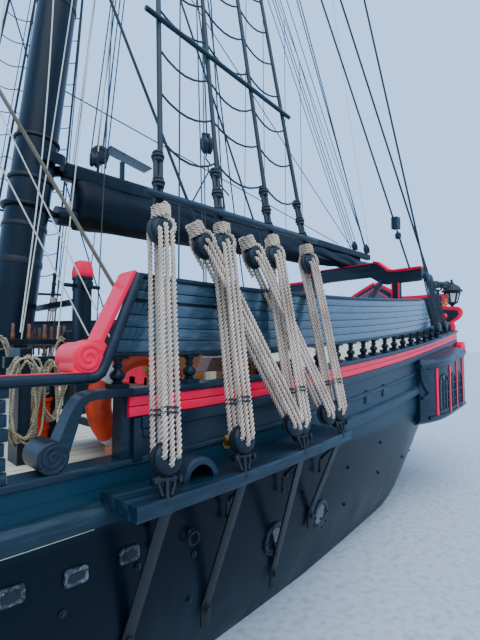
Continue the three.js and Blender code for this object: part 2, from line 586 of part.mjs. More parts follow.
// Bowsprit with its cap, and the jibboom held above it
const JIB = { off: 330, start: 6300, end: 14200, r0: 115, r1: 70 };
const jibAt = (s, up = JIB.off) => spritAt(s).addScaledVector(spritUp, up);
const jibRod = (grow) => rod(jibAt(JIB.start - grow), jibAt(JIB.end), JIB.r0 + grow, JIB.r1 + grow, 12);
add('bowsprit', cut(fuse(
  spritRod(0),
  rod(jibAt(9640, 170), jibAt(9780, 170), 330, 330, 8),
  rod(jibAt(6500, 150), jibAt(6620, 150), 330, 330, 8),
), jibRod(GAP)), BLACK);
add('jibboom', jibRod(0), BLACK);

// Fife rail round the main mast, and two tall posts with painted heads
function fifeRail(x, half, long) {
  const z = waistZ(x) + 900;
  const legs = [[-long / 2, -half], [-long / 2, half], [long / 2, -half], [long / 2, half]];
  return onWaist(
    legs.map(([dx, y]) => box(x + dx - 55, x + dx + 55, y - 55, y + 55, DECK_Z - 60, z + 60)),
    box(x - long / 2 - 60, x + long / 2 + 60, -half - 60, -half + 80, z - 60, z),
    box(x - long / 2 - 60, x + long / 2 + 60, half - 80, half + 60, z - 60, z),
    box(x - long / 2 - 60, x - long / 2 + 60, -half - 60, half + 60, z - 60, z),
  );
}
const POST_X = -4140;
add('main_fife_rail', fuse(fifeRail(MAIN_X, 760, 1100), [1, -1].map((sign) => onWaist(
  box(POST_X - 95, POST_X + 95, sign * 1200 - 95, sign * 1200 + 95, DECK_Z - 60, 3300),
  rod(at(POST_X, sign * 1200, 3300), at(POST_X, sign * 1200, 3480), 120, 90, 4),
  box(POST_X - 40, POST_X + 40, sign * 1200 - 180, sign * 1200 + 180, 3180, 3240),
  slabBetween(POST_X - 45, POST_X + 45, sign * 690, sign * 1200, waistZ(POST_X) + 840, waistZ(POST_X) + 900),
))), BLACK);
add('fore_fife_rail', fifeRail(FORE_X, 700, 1000), BLACK);

// Hatches, skylight, companion with two doors and a sliding top
const hatch = (x, long, wide) => onWaist(
  box(x - long / 2, x + long / 2, -wide / 2, wide / 2, DECK_Z - 60, waistZ(x) + 320));
add('main_hatch', hatch(800, 1700, 1500), BLACK);
add('fore_hatch', hatch(7400, 900, 900), BLACK);

const SKYLIGHT = { x0: -8500, x1: -7300, half: 520, wall: 330, ridge: 620 };
const skylightZ = quarterZ(-7900);
add('skylight', onQuarterdeck(slabX([
  [-SKYLIGHT.half, -250], [SKYLIGHT.half, -250], [SKYLIGHT.half, SKYLIGHT.wall], [0, SKYLIGHT.ridge],
  [-SKYLIGHT.half, SKYLIGHT.wall],
], SKYLIGHT.x0, SKYLIGHT.x1).translate(0, 0, skylightZ)), BLACK);

// Each door's hinge is two pairs of knuckles, the door's standing on the frame's
const CABIN = { x0: -6500, x1: -5500, half: 480, wall: 60, top: 1100, sill: 180 };
const cabinZ = waistZ(-6000);
const DOOR_GAP = 6;
const HINGE = { x: CABIN.x1 + 14, y: CABIN.half - CABIN.wall, r: 12, long: 60, ups: [320, 900] };
const knuckle = (z0, z1) => rod(at(HINGE.x, HINGE.y, z0), at(HINGE.x, HINGE.y, z1), HINGE.r, HINGE.r, 8);
const frameKnuckles = HINGE.ups.map((up) => [
  knuckle(cabinZ + up, cabinZ + up + HINGE.long),
  box(CABIN.x1 - 2, HINGE.x, HINGE.y + 2, HINGE.y + 40, cabinZ + up, cabinZ + up + HINGE.long),
]).flat();
const doorKnuckles = HINGE.ups.map((up) => up + HINGE.long + GAP).flatMap((up) => [
  knuckle(cabinZ + up, cabinZ + up + HINGE.long),
  box(CABIN.x1 - 7, HINGE.x, HINGE.y - 50, HINGE.y - 2, cabinZ + up, cabinZ + up + HINGE.long),
]);
add('companion', cut(fuse(
  onWaist(box(CABIN.x0, CABIN.x1, -CABIN.half, CABIN.half, DECK_Z - 60, cabinZ + CABIN.top)),
  frameKnuckles, frameKnuckles.map(mirrored)),
  box(CABIN.x0 + CABIN.wall, CABIN.x1 + 1, -CABIN.half + CABIN.wall, CABIN.half - CABIN.wall,
    cabinZ + CABIN.sill, cabinZ + CABIN.top + 10),
), BLACK);
addPair('companion_door', fuse(
  box(CABIN.x1 - 45, CABIN.x1 - 5, DOOR_GAP / 2, HINGE.y - DOOR_GAP, cabinZ + CABIN.sill + DOOR_GAP,
    cabinZ + CABIN.top - DOOR_GAP), doorKnuckles), RED);
add('companion_slide', box(CABIN.x0 + 20, CABIN.x1 + 40, -CABIN.half - 20, CABIN.half + 20,
  cabinZ + CABIN.top + GAP, cabinZ + CABIN.top + 60), BLACK);

// Windlass: a barrel with warping ends between two bitts
const WINDLASS = { x: 8600, z: 560 };
const windlassZ = waistZ(WINDLASS.x) + WINDLASS.z;
const SPINDLE_R = 100;
const barrelHole = bore(at(WINDLASS.x, -1100, windlassZ), at(WINDLASS.x, 1100, windlassZ), SPINDLE_R);
add('windlass_bitts', cut(onWaist(
  box(WINDLASS.x - 150, WINDLASS.x + 150, 700, 860, DECK_Z, windlassZ + 420),
  box(WINDLASS.x - 150, WINDLASS.x + 150, -860, -700, DECK_Z, windlassZ + 420),
  box(WINDLASS.x + 60, WINDLASS.x + 150, -860, 860, windlassZ + 260, windlassZ + 400),
), barrelHole), BLACK);
add('windlass_barrel', fuse(
  rod(at(WINDLASS.x, -680, windlassZ), at(WINDLASS.x, 680, windlassZ), 190, 190, 10),
  rod(at(WINDLASS.x, -1200, windlassZ), at(WINDLASS.x, 1200, windlassZ), SPINDLE_R, SPINDLE_R, 12),
  rod(at(WINDLASS.x, 880, windlassZ), at(WINDLASS.x, 1180, windlassZ), 150, 190, 12),
  rod(at(WINDLASS.x, -880, windlassZ), at(WINDLASS.x, -1180, windlassZ), 150, 190, 12),
), BLACK);

// Catheads at the bow, each with its anchor hung from it and lashed along the side
const CAT_X = 10600;
const catZ = RAIL_Z + rise(CAT_X) + 20;
const ANCHOR = { x: 9350, y: side(8400) + 150, z: RAIL_Z + rise(9350) - 60 };
addPair('cathead', cut(fuse(
  box(CAT_X - 90, CAT_X + 90, side(CAT_X) - 700, side(CAT_X) + 800, catZ, catZ + 200),
  rod(at(ANCHOR.x + 1200, ANCHOR.y, ANCHOR.z - 100), at(CAT_X, side(CAT_X) + 700, catZ + 20), 40, 40, 6),
  rod(at(ANCHOR.x - 1000, ANCHOR.y, ANCHOR.z - 500), at(ANCHOR.x + 1250, ANCHOR.y, ANCHOR.z - 60), 50, 38, 8),
  rod(at(ANCHOR.x + 1050, ANCHOR.y, ANCHOR.z - 750), at(ANCHOR.x + 1050, ANCHOR.y, ANCHOR.z + 560), 60, 60, 8),
  rod(at(ANCHOR.x - 980, ANCHOR.y, ANCHOR.z - 500), at(ANCHOR.x - 600, ANCHOR.y, ANCHOR.z - 950), 45, 30, 8),
  rod(at(ANCHOR.x - 980, ANCHOR.y, ANCHOR.z - 500), at(ANCHOR.x - 800, ANCHOR.y, ANCHOR.z + 60), 45, 30, 8),
), strake(9000, 12000, RAIL_Z - 300, RAIL_Z + 60 + GAP, 40 + GAP, -150 - GAP)), IRON);

// Steering wheel on its stand, and the compass binnacle
const HELM = { x: -9900, up: 820, r: 620, shaft: 40 };
const helmZ = quarterZ(HELM.x) + HELM.up;
add('helm_stand', cut(onQuarterdeck(
  box(HELM.x - 620, HELM.x - 90, -230, 230, QUARTERDECK_Z - 60, helmZ + 60)),
  bore(at(HELM.x - 400, 0, helmZ), at(HELM.x + 100, 0, helmZ), HELM.shaft)), BLACK);
const rim = new THREE.TorusGeometry(HELM.r * 0.72, 30, 5, 20).rotateY(Math.PI / 2);
add('steering_wheel', fuse(
  rim.translate(HELM.x, 0, helmZ),
  rod(at(HELM.x - 380, 0, helmZ), at(HELM.x + 60, 0, helmZ), HELM.shaft, HELM.shaft, 12),
  rod(at(HELM.x - 50, 0, helmZ), at(HELM.x + 50, 0, helmZ), 90, 90, 12),
  spread(0, Math.PI * 7 / 4, 7).map((turn) => rod(at(HELM.x, 0, helmZ),
    at(HELM.x, Math.cos(turn) * HELM.r, helmZ + Math.sin(turn) * HELM.r), 18, 22, 4)),
), DECK);
const BINNACLE_X = -8950;
add('binnacle', onQuarterdeck(
  box(BINNACLE_X - 200, BINNACLE_X + 200, -200, 200, QUARTERDECK_Z - 60, quarterZ(BINNACLE_X) + 1000),
  rod(at(BINNACLE_X, 0, quarterZ(BINNACLE_X) + 990), at(BINNACLE_X, 0, quarterZ(BINNACLE_X) + 1180), 190, 90, 8),
), BLACK);

// Booms, gaffs and furled sails. Each set swings together about its mast.
const SETS = {
  // gooseneck z and reach aft of the mast, boom end, gaff end, gaff height over the gooseneck, sail half width
  main: { neckZ: 4310, reach: 105, boomEnd: at(-12690, 0, 4650), gaffEnd: at(-12500, 0, 4880), up: 640, fat: 230 },
  fore: { neckZ: 4500, reach: 105, boomEnd: at(-1750, 0, 4650), gaffEnd: at(-1600, 0, 4900), up: 640, fat: 210 },
};
const BOOM = { r0: 130, r1: 105 };
const GAFF = { r0: 110, r1: 75 };
const gooseneckOf = (name) => {
  const [mast, set] = [MASTS[name], SETS[name]];
  return mastAt(mast, set.neckZ).add(at(-mastRadius(mast, set.neckZ) - set.reach, 0, 0));
};
// How far a sloping spar's surface lies above or below its axis, at parameter t of its length
const sparEdge = (spar, way, t) => (spar.r0 + (spar.r1 - spar.r0) * t) / Math.hypot(way.x, way.y);

// Gallows under the main boom's end; the boom rests on its raised middle
const GALLOWS = { x: -11400, deep: 330, half: 1930 };
const [mainNeck, mainEnd] = [gooseneckOf('main'), SETS.main.boomEnd];
const mainWay = mainEnd.clone().sub(mainNeck).normalize();
const overGallows = (mainNeck.x - GALLOWS.x - 80) / (mainNeck.x - mainEnd.x);
GALLOWS.top = mainNeck.z + (mainEnd.z - mainNeck.z) * overGallows - sparEdge(BOOM, mainWay, overGallows) - GAP;
add('boom_gallows', onQuarterdeck(
  slabX([
    [-GALLOWS.half, GALLOWS.top - 260], [-GALLOWS.half, GALLOWS.top - 540], [-1000, GALLOWS.top - 540],
    [-700, GALLOWS.top - GALLOWS.deep], [700, GALLOWS.top - GALLOWS.deep], [1000, GALLOWS.top - 540],
    [GALLOWS.half, GALLOWS.top - 540], [GALLOWS.half, GALLOWS.top - 260], [1200, GALLOWS.top - 260],
    [800, GALLOWS.top], [-800, GALLOWS.top], [-1200, GALLOWS.top - 260],
  ], GALLOWS.x - 80, GALLOWS.x + 80),
  box(GALLOWS.x - 75, GALLOWS.x + 75, 1250, 1410, QUARTERDECK_Z, GALLOWS.top - 400),
  box(GALLOWS.x - 75, GALLOWS.x + 75, -1410, -1250, QUARTERDECK_Z, GALLOWS.top - 400),
), BLACK);

const JAW = 32;
for (const [name, set] of Object.entries(SETS)) {
  const mast = MASTS[name];
  const gooseneck = gooseneckOf(name);
  const way = set.boomEnd.clone().sub(gooseneck).normalize();
  const boomAt = (s) => gooseneck.clone().addScaledVector(way, s);
  const long = set.boomEnd.distanceTo(gooseneck);
  const ring = (z) => runningRing(mastAt(mast, z), mast.rake, mastRadius(mast, z), JAW);
  add(`${name}_boom`, fuse(
    rod(gooseneck, set.boomEnd, BOOM.r0, BOOM.r1, 12),
    rod(boomAt(-set.reach + 40), boomAt(100), 38, 38, 8),
    ring(set.neckZ),
  ), BLACK);
  const gaffZ = set.neckZ + set.up;
  const jaw = mastAt(mast, gaffZ).add(at(-mastRadius(mast, gaffZ) - 130, 0, 0));
  add(`${name}_gaff`, fuse(
    ring(gaffZ),
    rod(jaw.clone().add(at(90, 0, 0)), jaw, 30, 60, 8),
    rod(jaw, set.gaffEnd, GAFF.r0, GAFF.r1, 12),
  ), BLACK);
  const gaffWay = set.gaffEnd.clone().sub(jaw).normalize();
  const gaffLong = set.gaffEnd.distanceTo(jaw);
  add(`${name}_sail_furled`, loft(spread(0, 1, 10).map((t) => {
    const s = 350 + t * (long - 900);
    const low = boomAt(s);
    const up = (low.x - jaw.x) / gaffWay.x;
    const high = jaw.clone().addScaledVector(gaffWay, up);
    const bottom = low.z + sparEdge(BOOM, way, s / long) + GAP;
    const top = high.z - sparEdge(GAFF, gaffWay, up / gaffLong) - GAP;
    const half = set.fat * (1 - 0.45 * t);
    const port = [[60, bottom], [half, bottom + (top - bottom) * 0.3], [half * 0.8, bottom + (top - bottom) * 0.6],
      [60, top]].map(([y, z]) => at(low.x, y, z));
    return [...port, ...port.toReversed().map((p) => at(p.x, -p.y, p.z))];
  })), CANVAS);
}

// Square yards of the foremast, each slung ahead of its mast on a truss
const YARDS = {
  fore_yard: { z: 15500, half: 6200, r: 120, off: 0, out: 450 },
  fore_topsail_yard: { z: 22300, half: 4600, r: 95, off: TOPMAST_OFF, out: 330 },
};
for (const [name, yard] of Object.entries(YARDS)) {
  const mast = MASTS.fore;
  const c = mastAt(mast, yard.z).add(at(yard.off, 0, 0));
  const hold = (yard.off ? topmastRadius : mastRadius)(mast, yard.z);
  add(name, fuse(
    runningRing(c, mast.rake, hold, 30),
    rod(c.clone().add(at(hold + 35, 0, 0)), c.clone().add(at(yard.out, 0, 0)), 38, 38, 8),
    [1, -1].map((s) => rod(c.clone().add(at(yard.out, 0, 0)), c.clone().add(at(yard.out, s * yard.half, 0)),
      yard.r, yard.r * 0.5, 12)),
  ), BLACK);
}

// Swivel guns on the quarters
const gunY = side(SWIVEL.x) - SWIVEL.inboard;
const gunAt = (dx, dy, dz) => at(SWIVEL.x + dx, gunY + dy, SWIVEL.z + dz);
addPair('swivel_gun', fuse(
  rod(gunAt(0, 0, -85), gunAt(0, 0, 20), 22, 22, 8),
  rod(gunAt(0, -70, 0), gunAt(0, 70, 0), 20, 20, 8),
  rod(gunAt(300, 0, 40), gunAt(-450, 0, 40), 62, 45, 12),
  rod(gunAt(-430, 0, 40), gunAt(-500, 0, 40), 45, 62, 12),
  rod(gunAt(300, 0, 40), gunAt(620, 0, 20), 18, 22, 8),
  ball(gunAt(320, 0, 40), 40),
), IRON);

// Backstays from the main topmast to the quarters, and the forestay to the bowsprit
const BACKSTAYS = [
  // foot x, head z, head's place from the mast axis
  [-10150, 25200, TOPMAST_OFF - 30, 150],
  [-10750, 18460, -90, 225],
];
addPair('backstays', fuse(
  BACKSTAYS.map(([x, z, dx, dy]) => rod(quarterFoot(x), mastAt(MASTS.main, z).add(at(dx, dy, 0)), 17, 17, 5)),
  rod(quarterFoot(BACKSTAYS[0][0]), quarterFoot(BACKSTAYS[1][0]), STAY_BAR_R, STAY_BAR_R, 6),
), TARRED);
const foreHounds = mastAt(MASTS.fore, MASTS.fore.trees - 330);
add('forestay', fuse(
  cut(box(foreHounds.x + 60, foreHounds.x + 255, -100, 100, foreHounds.z - 60, foreHounds.z + 60),
    mastPole(MASTS.fore, GAP)),
  rod(foreHounds.clone().add(at(235, 0, 0)), spritAt(5900).addScaledVector(spritUp, 204), 26, 26, 6),
), TARRED);

export default ship;
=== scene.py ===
# %% [markdown]
# # A two-masted schooner, seen from beside its main channel
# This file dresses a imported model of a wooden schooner. The model brings every solid piece, every joint and
# the shared frame: metres, X forward, Y to port, Z up, with the water at z = 0. Blender adds the paint, the
# planks, the ropes and the carving, and moves nothing. Lines of the ship that the solids also follow are
# written once, as functions, so that each new piece lands on its neighbour.

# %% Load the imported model
import math

import bmesh
import bpy
import numpy as np
from mathutils import Matrix, Vector


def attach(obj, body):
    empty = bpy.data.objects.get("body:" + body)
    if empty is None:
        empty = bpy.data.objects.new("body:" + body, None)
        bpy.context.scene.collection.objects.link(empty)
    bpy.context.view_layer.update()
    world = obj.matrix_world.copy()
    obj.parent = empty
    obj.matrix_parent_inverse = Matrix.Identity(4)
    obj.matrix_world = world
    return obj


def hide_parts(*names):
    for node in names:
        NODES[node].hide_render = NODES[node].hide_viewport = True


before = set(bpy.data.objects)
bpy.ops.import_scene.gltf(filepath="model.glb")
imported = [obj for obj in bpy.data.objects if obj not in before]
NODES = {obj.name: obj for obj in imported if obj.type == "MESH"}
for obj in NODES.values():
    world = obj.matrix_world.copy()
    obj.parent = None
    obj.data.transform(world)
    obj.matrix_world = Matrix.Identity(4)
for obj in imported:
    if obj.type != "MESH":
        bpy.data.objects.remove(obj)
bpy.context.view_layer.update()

# %% [markdown]
# ## Camera
# The camera stands close beside the main shrouds, about 2.5 m above the water, and looks aft along the side.
# Its lens and its turn come from the horizon and from where the lines of the ship's side meet. The camera
# comes first, because every later choice of detail depends on what it sees.

# %% Camera
EYE = Vector((-1.9, 6.1, 2.5))
TURN = math.radians(46)          # between the direction of view and straight aft
PITCH = math.radians(3.56)
LENS_MM = 25.3


def make_camera():
    """Place the camera at the eye."""
    data = bpy.data.cameras.new("camera")
    data.lens = LENS_MM
    data.sensor_width = 36
    data.clip_start, data.clip_end = 0.05, 800
    camera = bpy.data.objects.new("camera", data)
    way = Vector((-math.cos(TURN) * math.cos(PITCH), -math.sin(TURN) * math.cos(PITCH), math.sin(PITCH)))
    camera.location = EYE
    camera.rotation_euler = way.to_track_quat("-Z", "Y").to_euler()
    bpy.context.scene.collection.objects.link(camera)
    bpy.context.scene.camera = camera
    return camera


print("camera at", [round(v, 2) for v in make_camera().location])

# %% [markdown]
# ## Lines of the ship
# A ship has few straight lines. Two curves carry nearly everything above the water: how far a level line has
# risen at a place along the ship, and the half breadth there. The hull below the rail is a family of frames,
# each with its lowest point, its fullness and its hollow.

# %% Curves of the hull
HALF_BEAM, SIDING = 3.6, 0.14
WALE_Z, SILL_Z, RAIL_Z = 1.45, 1.79, 2.31
BAND_Z, BAND_TOP_Z = 2.06, 2.19
SCREEN_Z, SCREEN_TOP_Z, SCREEN_END_X = 2.47, 2.97, -9.7
DECK_Z, QUARTERDECK_Z, BREAK_X = 1.70, 2.10, -6.6
TRANSOM_X, STEM_X, TRANSOM_RAKE, STERN_FOOT_Z = -11.7, 12.45, 0.35, 1.15
ENTRY_FORE_X, ENTRY_AFT_X = -2.68, -3.38
BOARD_WIDTH = 0.2
FRAMES = np.array([
    # x, lowest point, fullness, hollow
    [-11.7, 1.15, 2.2, 0.55], [-11.1, 0.70, 2.0, 0.8], [-10.4, -2.75, 1.6, 4.0], [-8.6, -2.66, 3.0, 3.0],
    [-6.0, -2.56, 2.9, 2.0], [-2.5, -2.43, 2.7, 1.4], [1.5, -2.29, 2.7, 1.3], [5.0, -2.16, 2.3, 1.4],
    [8.5, -2.05, 1.9, 1.35], [10.2, -1.40, 1.5, 1.35], [11.2, -0.10, 1.3, 1.2], [12.0, 1.35, 1.1, 1.0],
    [12.45, 2.40, 1.1, 1.0],
])


def rise(x):
    """How far a level line has risen at x, over its height amidships."""
    if x < -3.7:
        return 0.44 * ((-x - 3.7) / 6.7) ** 1.6
    if x > -1.0:
        return 1.1 * ((x + 1) / 13.5) ** 1.8
    return 0.0


def side(x):
    """Half breadth of the ship's side from the wale upwards."""
    if x < -2:
        return HALF_BEAM - 1.3 * ((-2 - x) / 10) ** 1.35
    return HALF_BEAM * (1 - min((x + 2) / 14.6, 1) ** 3.2) ** 0.75


def frame_at(x):
    """Lowest point, fullness and hollow of the frame at x."""
    return [float(np.interp(x, FRAMES[:, 0], FRAMES[:, k])) for k in (1, 2, 3)]


def hull_half(x, z):
    """Half breadth of the hull at any place below the wale."""
    bottom, fullness, hollow = frame_at(x)
    share = min(max((z - bottom) / (WALE_Z + rise(x) - bottom), 0), 1)
    return SIDING + (side(x) - SIDING) * (1 - (1 - share) ** fullness) ** hollow


def transom_shift(z):
    """How far aft the raking transom lies at height z, from its foot."""
    return -TRANSOM_RAKE * (z - STERN_FOOT_Z)


def spread(first, last, steps):
    """Evenly spaced numbers, both ends among them."""
    return [first + (last - first) * k / steps for k in range(steps + 1)]


def angles(count):
    """The angles of one turn in equal steps, without the last, which is the first again."""
    return spread(0, 2 * math.pi, count)[:-1]


def at(x=0.0, y=0.0, z=0.0):
    """A place, or a step, in metres."""
    return Vector((x, y, z))


print("half breadth at the main mast", round(side(-3.6), 3), "at the transom", round(side(TRANSOM_X), 3))

# %% [markdown]
# ## A small kit for shapes
# Most pieces here are bars, boards, turned pieces and strips that follow the side. A shape collects vertices
# and faces, and one function makes it an object, gives it its paint, and hands it to the body that carries
# it. A piece for the port side is mirrored for the starboard side, with its faces turned back outwards.

# %% Shape kit
class Shape:
    """Vertices and faces of one piece in the making."""

    def __init__(self):
        self.verts, self.faces = [], []

    def add(self, verts, faces):
        """Take in more vertices and faces."""
        start = len(self.verts)
        self.verts += [tuple(v) for v in verts]
        self.faces += [tuple(i + start for i in face) for face in faces]
        return self

    def loft(self, rings, closed=True, caps=True):
        """Skin a row of rings that have equal counts of points."""
        count = len(rings[0])
        turns = count if closed else count - 1
        faces = []
        for i in range(len(rings) - 1):
            for j in range(turns):
                a, b = i * count + j, i * count + (j + 1) % count
                faces.append((a, b, b + count, a + count))
        if caps:
            last = (len(rings) - 1) * count
            faces.append(tuple(range(count))[::-1])
            faces.append(tuple(range(last, last + count)))
        return self.add([p for ring in rings for p in ring], faces)

    def box(self, low, high):
        """A box between two corners, given in any order."""
        (x0, x1), (y0, y1), (z0, z1) = (sorted(pair) for pair in zip(low, high))
        ring = [(x0, y0), (x1, y0), (x1, y1), (x0, y1)]
        return self.loft([[(x, y, z) for x, y in ring] for z in (z0, z1)])

    def tube(self, points, radius, sides=8, closed=False, caps=True):
        """A round bar along points. The radius is one number, or one for each point."""
        points = [Vector(p) for p in points]
        radii = radius if isinstance(radius, (list, tuple)) else [radius] * len(points)
        ahead = [points[min(i + 1, len(points) - 1)] - points[max(i - 1, 0)] for i in range(len(points))]
        if closed:
            ahead = [points[(i + 1) % len(points)] - points[i - 1] for i in range(len(points))]
        normal = ahead[0].orthogonal().normalized()
        rings = []
        for p, way, r in zip(points, ahead, radii):
            way = way.normalized()
            normal = (normal - way * normal.dot(way)).normalized()
            rings.append(ring_round(p, normal, way.cross(normal), r, sides))
        if closed:
            rings.append(rings[0])
        return self.loft(rings, caps=caps and not closed)

    def sweep(self, points, section, up=(0, 0, 1)):
        """A flat section of (across, up) pairs along a path that keeps its upright."""
        points, up = [Vector(p) for p in points], Vector(up)
        rings = []
        for i, p in enumerate(points):
            way = (points[min(i + 1, len(points) - 1)] - points[max(i - 1, 0)]).normalized()
            across = way.cross(up).normalized()
            top = across.cross(way)
            rings.append([p + across * a + top * b for a, b in section])
        return self.loft(rings)

    def turned(self, base, way, profile, sides=12):
        """A turned piece: pairs of (distance along the axis, radius) from base along way."""
        base, way = Vector(base), Vector(way).normalized()
        normal = way.orthogonal().normalized()
        return self.loft([ring_round(base + way * d, normal, way.cross(normal), r, sides)
                          for d, r in profile])

    def slab(self, outline, axis, low, high):
        """An outline pushed along X, Y or Z between two values."""
        k = "XYZ".index(axis)
        rings = []
        for depth in (low, high):
            ring = []
            for pair in outline:
                point = list(pair)
                point.insert(k, depth)
                ring.append(tuple(point))
            rings.append(ring)
        return self.loft(rings)

    def mirrored(self):
        """The same shape on the starboard side."""
        other = Shape()
        other.verts = [(x, -y, z) for x, y, z in self.verts]
        other.faces = [face[::-1] for face in self.faces]
        return other


def ring_round(centre, normal, across, r, sides):
    """A ring of points round a centre, in the plane of two directions."""
    return [centre + normal * (r * math.cos(a)) + across * (r * math.sin(a)) for a in angles(sides)]


def mesh_of(name, shape, join=None):
    """A mesh of a shape with its faces turned outward, and its doubled points joined within a distance."""
    mesh = bpy.data.meshes.new(name)
    mesh.from_pydata([tuple(v) for v in shape.verts], [], shape.faces)
    work = bmesh.new()
    work.from_mesh(mesh)
    if join:
        bmesh.ops.remove_doubles(work, verts=work.verts, dist=join)
    bmesh.ops.recalc_face_normals(work, faces=work.faces)
    work.to_mesh(mesh)
    work.free()
    return mesh


def hand_over(name, mesh, body, replaces, smooth):
    """Make an object of a mesh, smooth it below an angle, and let it ride on its body."""
    mesh.shade_smooth()
    mesh.set_sharp_from_angle(angle=math.radians(smooth))
    thing = bpy.data.objects.new(name, mesh)
    bpy.context.scene.collection.objects.link(thing)
    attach(thing, body)
    if replaces:
        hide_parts(*replaces)
    return thing


def place(name, shape, material, body="ship", slot=None, bevel=0.0, smooth=35, replaces=()):
    """Make a mesh object of a shape, with its material, and let it ride on its body."""
    mesh = mesh_of(name, shape, join=1e-5)
    mesh.materials.append(material)
    thing = hand_over(name, mesh, body, replaces, smooth)
    if bevel:
        edge = thing.modifiers.new("edge", "BEVEL")
        edge.width, edge.segments, edge.angle_limit = bevel, 2, math.radians(40)
    return thing


ENDS = (("port", 1), ("starboard", -1))


def place_pair(name, shape, material, replaces=(), **rest):
    """Place a port piece and its mirror image."""
    for end, sign in ENDS:
        place(f"{name}_{end}", shape if sign > 0 else shape.mirrored(), material,
              replaces=[f"{n}_{end}" for n in replaces], **rest)


def rounded(outline, radius, steps=3):
    """An outline with its corners rounded."""
    result = []
    for i, corner in enumerate(outline):
        p, before, after = Vector(corner), Vector(outline[i - 1]), Vector(outline[(i + 1) % len(outline)])
        room = min(radius, (before - p).length / 2.1, (after - p).length / 2.1)
        a, b = p + (before - p).normalized() * room, p + (after - p).normalized() * room
        for t in spread(0, 1, steps):
            result.append(tuple(a * (1 - t) ** 2 + p * (2 * t * (1 - t)) + b * t ** 2))
    return result


def strip(shape, x0, x1, section, step=0.3, lean0=None, lean1=None):
    """A moulding along the port side: a section of (out from the side, height amidships) pairs."""
    count = max(2, round(abs(x1 - x0) / step))
    rings = []
    for t in spread(0, 1, count):
        ring = []
        for out, z in section:
            start = x0 + (lean0(z + rise(x0)) if lean0 else 0)
            end = x1 + (lean1(z + rise(x1)) if lean1 else 0)
            x = start + (end - start) * t
            ring.append((x, side(x) + out, z + rise(x)))
        rings.append(ring)
    return shape.loft(rings)


def board(out0, out1, z0, z1):
    """Section of a plain board between two distances out and two heights."""
    return [(out0, z0), (out1, z0), (out1, z1), (out0, z1)]


def rect(half_wide, half_high):
    """A rectangle round the origin."""
    return board(-half_wide, half_wide, -half_high, half_high)


print("shape kit ready")

# %% [markdown]
# ## Writing a finish as a sum
# A finish is mostly arithmetic on a few patterns: grain drawn out along a plank, a dark line at a seam, a
# mask where the paint has worn. The small class below wraps a socket, so that such a sum is written as a sum
# and its nodes are made on the way.

# %% Shader kit
class Wire:
    """A value that runs through a material's nodes and takes part in sums."""

    def __init__(self, owner, socket):
        self.board, self.socket = owner, socket

    def __add__(self, other):
        return self.board.maths("ADD", self, other)

    def __sub__(self, other):
        return self.board.maths("SUBTRACT", self, other)

    def __rsub__(self, other):
        return self.board.maths("SUBTRACT", other, self)

    def __mul__(self, other):
        return self.board.maths("MULTIPLY", self, other)

    __radd__, __rmul__ = __add__, __mul__

    def fraction(self):
        """The part behind the decimal point."""
        return self.board.maths("FRACT", self)

    def size(self):
        """The value without its sign."""
        return self.board.maths("ABSOLUTE", self)

    def fade(self, low, high):
        """0 below low, 1 above high, and a soft step between."""
        return self.board.node("ShaderNodeMapRange", {"interpolation_type": "SMOOTHSTEP"},
                               {"Value": self, "From Min": low, "From Max": high})


class Finish:
    """One material, built up from patterns and ended by a principled surface."""

    def __init__(self, name):
        self.material = bpy.data.materials.new(name)
        self.material.use_nodes = True
        self.tree = self.material.node_tree
        self.surface = self.tree.nodes["Principled BSDF"]
        self.place = self.node("ShaderNodeTexCoord", {}, {}, "Object")

    def node(self, kind, settings, inputs, output=0):
        """Add a node, set it up, join its inputs, and return one output."""
        made = self.tree.nodes.new(kind)
        for key, value in settings.items():
            setattr(made, key, value)
        for key, value in inputs.items():
            self.join(made.inputs[key], value)
        return Wire(self, made.outputs[output])

    def join(self, socket, value):
        """Put a number, a colour or a wire on a socket."""
        if isinstance(value, Wire):
            self.tree.links.new(value.socket, socket)
        else:
            socket.default_value = value

    def maths(self, operation, *values):
        """One step of arithmetic."""
        return self.node("ShaderNodeMath", {"operation": operation}, dict(enumerate(values)))

    def axis(self, k):
        """One coordinate of the piece, in metres."""
        return self.node("ShaderNodeSeparateXYZ", {}, {"Vector": self.place}, k)

    def stretched(self, scale):
        """The coordinates, scaled along each axis."""
        return self.node("ShaderNodeMapping", {}, {"Vector": self.place, "Scale": scale})

    def noise(self, scale, detail=3.0, roughness=0.55):
        """Cloudy noise; scale is a triple of cells for each metre."""
        return self.node("ShaderNodeTexNoise", {}, {
            "Vector": self.stretched(scale), "Scale": 1.0, "Detail": detail, "Roughness": roughness}, "Fac")

    def mix(self, share, first, second):
        """Blend two colours."""
        return self.node("ShaderNodeMix", {"data_type": "RGBA"}, {0: share, 6: first, 7: second}, 2)

    def bump(self, height, strength, distance, below=None):
        """Relief from a height, on top of an earlier relief."""
        inputs = {"Height": height, "Strength": strength, "Distance": distance}
        if below:
            inputs["Normal"] = below
        return self.node("ShaderNodeBump", {}, inputs, "Normal")

    def end(self, base, roughness, normal=None, **fixed):
        """Finish with a principled surface; fixed values sit on its own sockets."""
        self.join(self.surface.inputs["Base Color"], base)
        self.join(self.surface.inputs["Roughness"], roughness)
        if normal:
            self.join(self.surface.inputs["Normal"], normal)
        for key, value in fixed.items():
            self.surface.inputs[key.replace("_", " ")].default_value = value
        return self.material


def shade(code):
    """A paint chip written as six hexadecimal digits, as the linear colour that nodes take."""
    parts = [int(code[k:k + 2], 16) / 255 for k in (0, 2, 4)]
    return (*[c / 12.92 if c <= 0.04045 else ((c + 0.055) / 1.055) ** 2.4 for c in parts], 1.0)


print("shader kit ready, black paint is", [round(c, 4) for c in shade("18252e")])

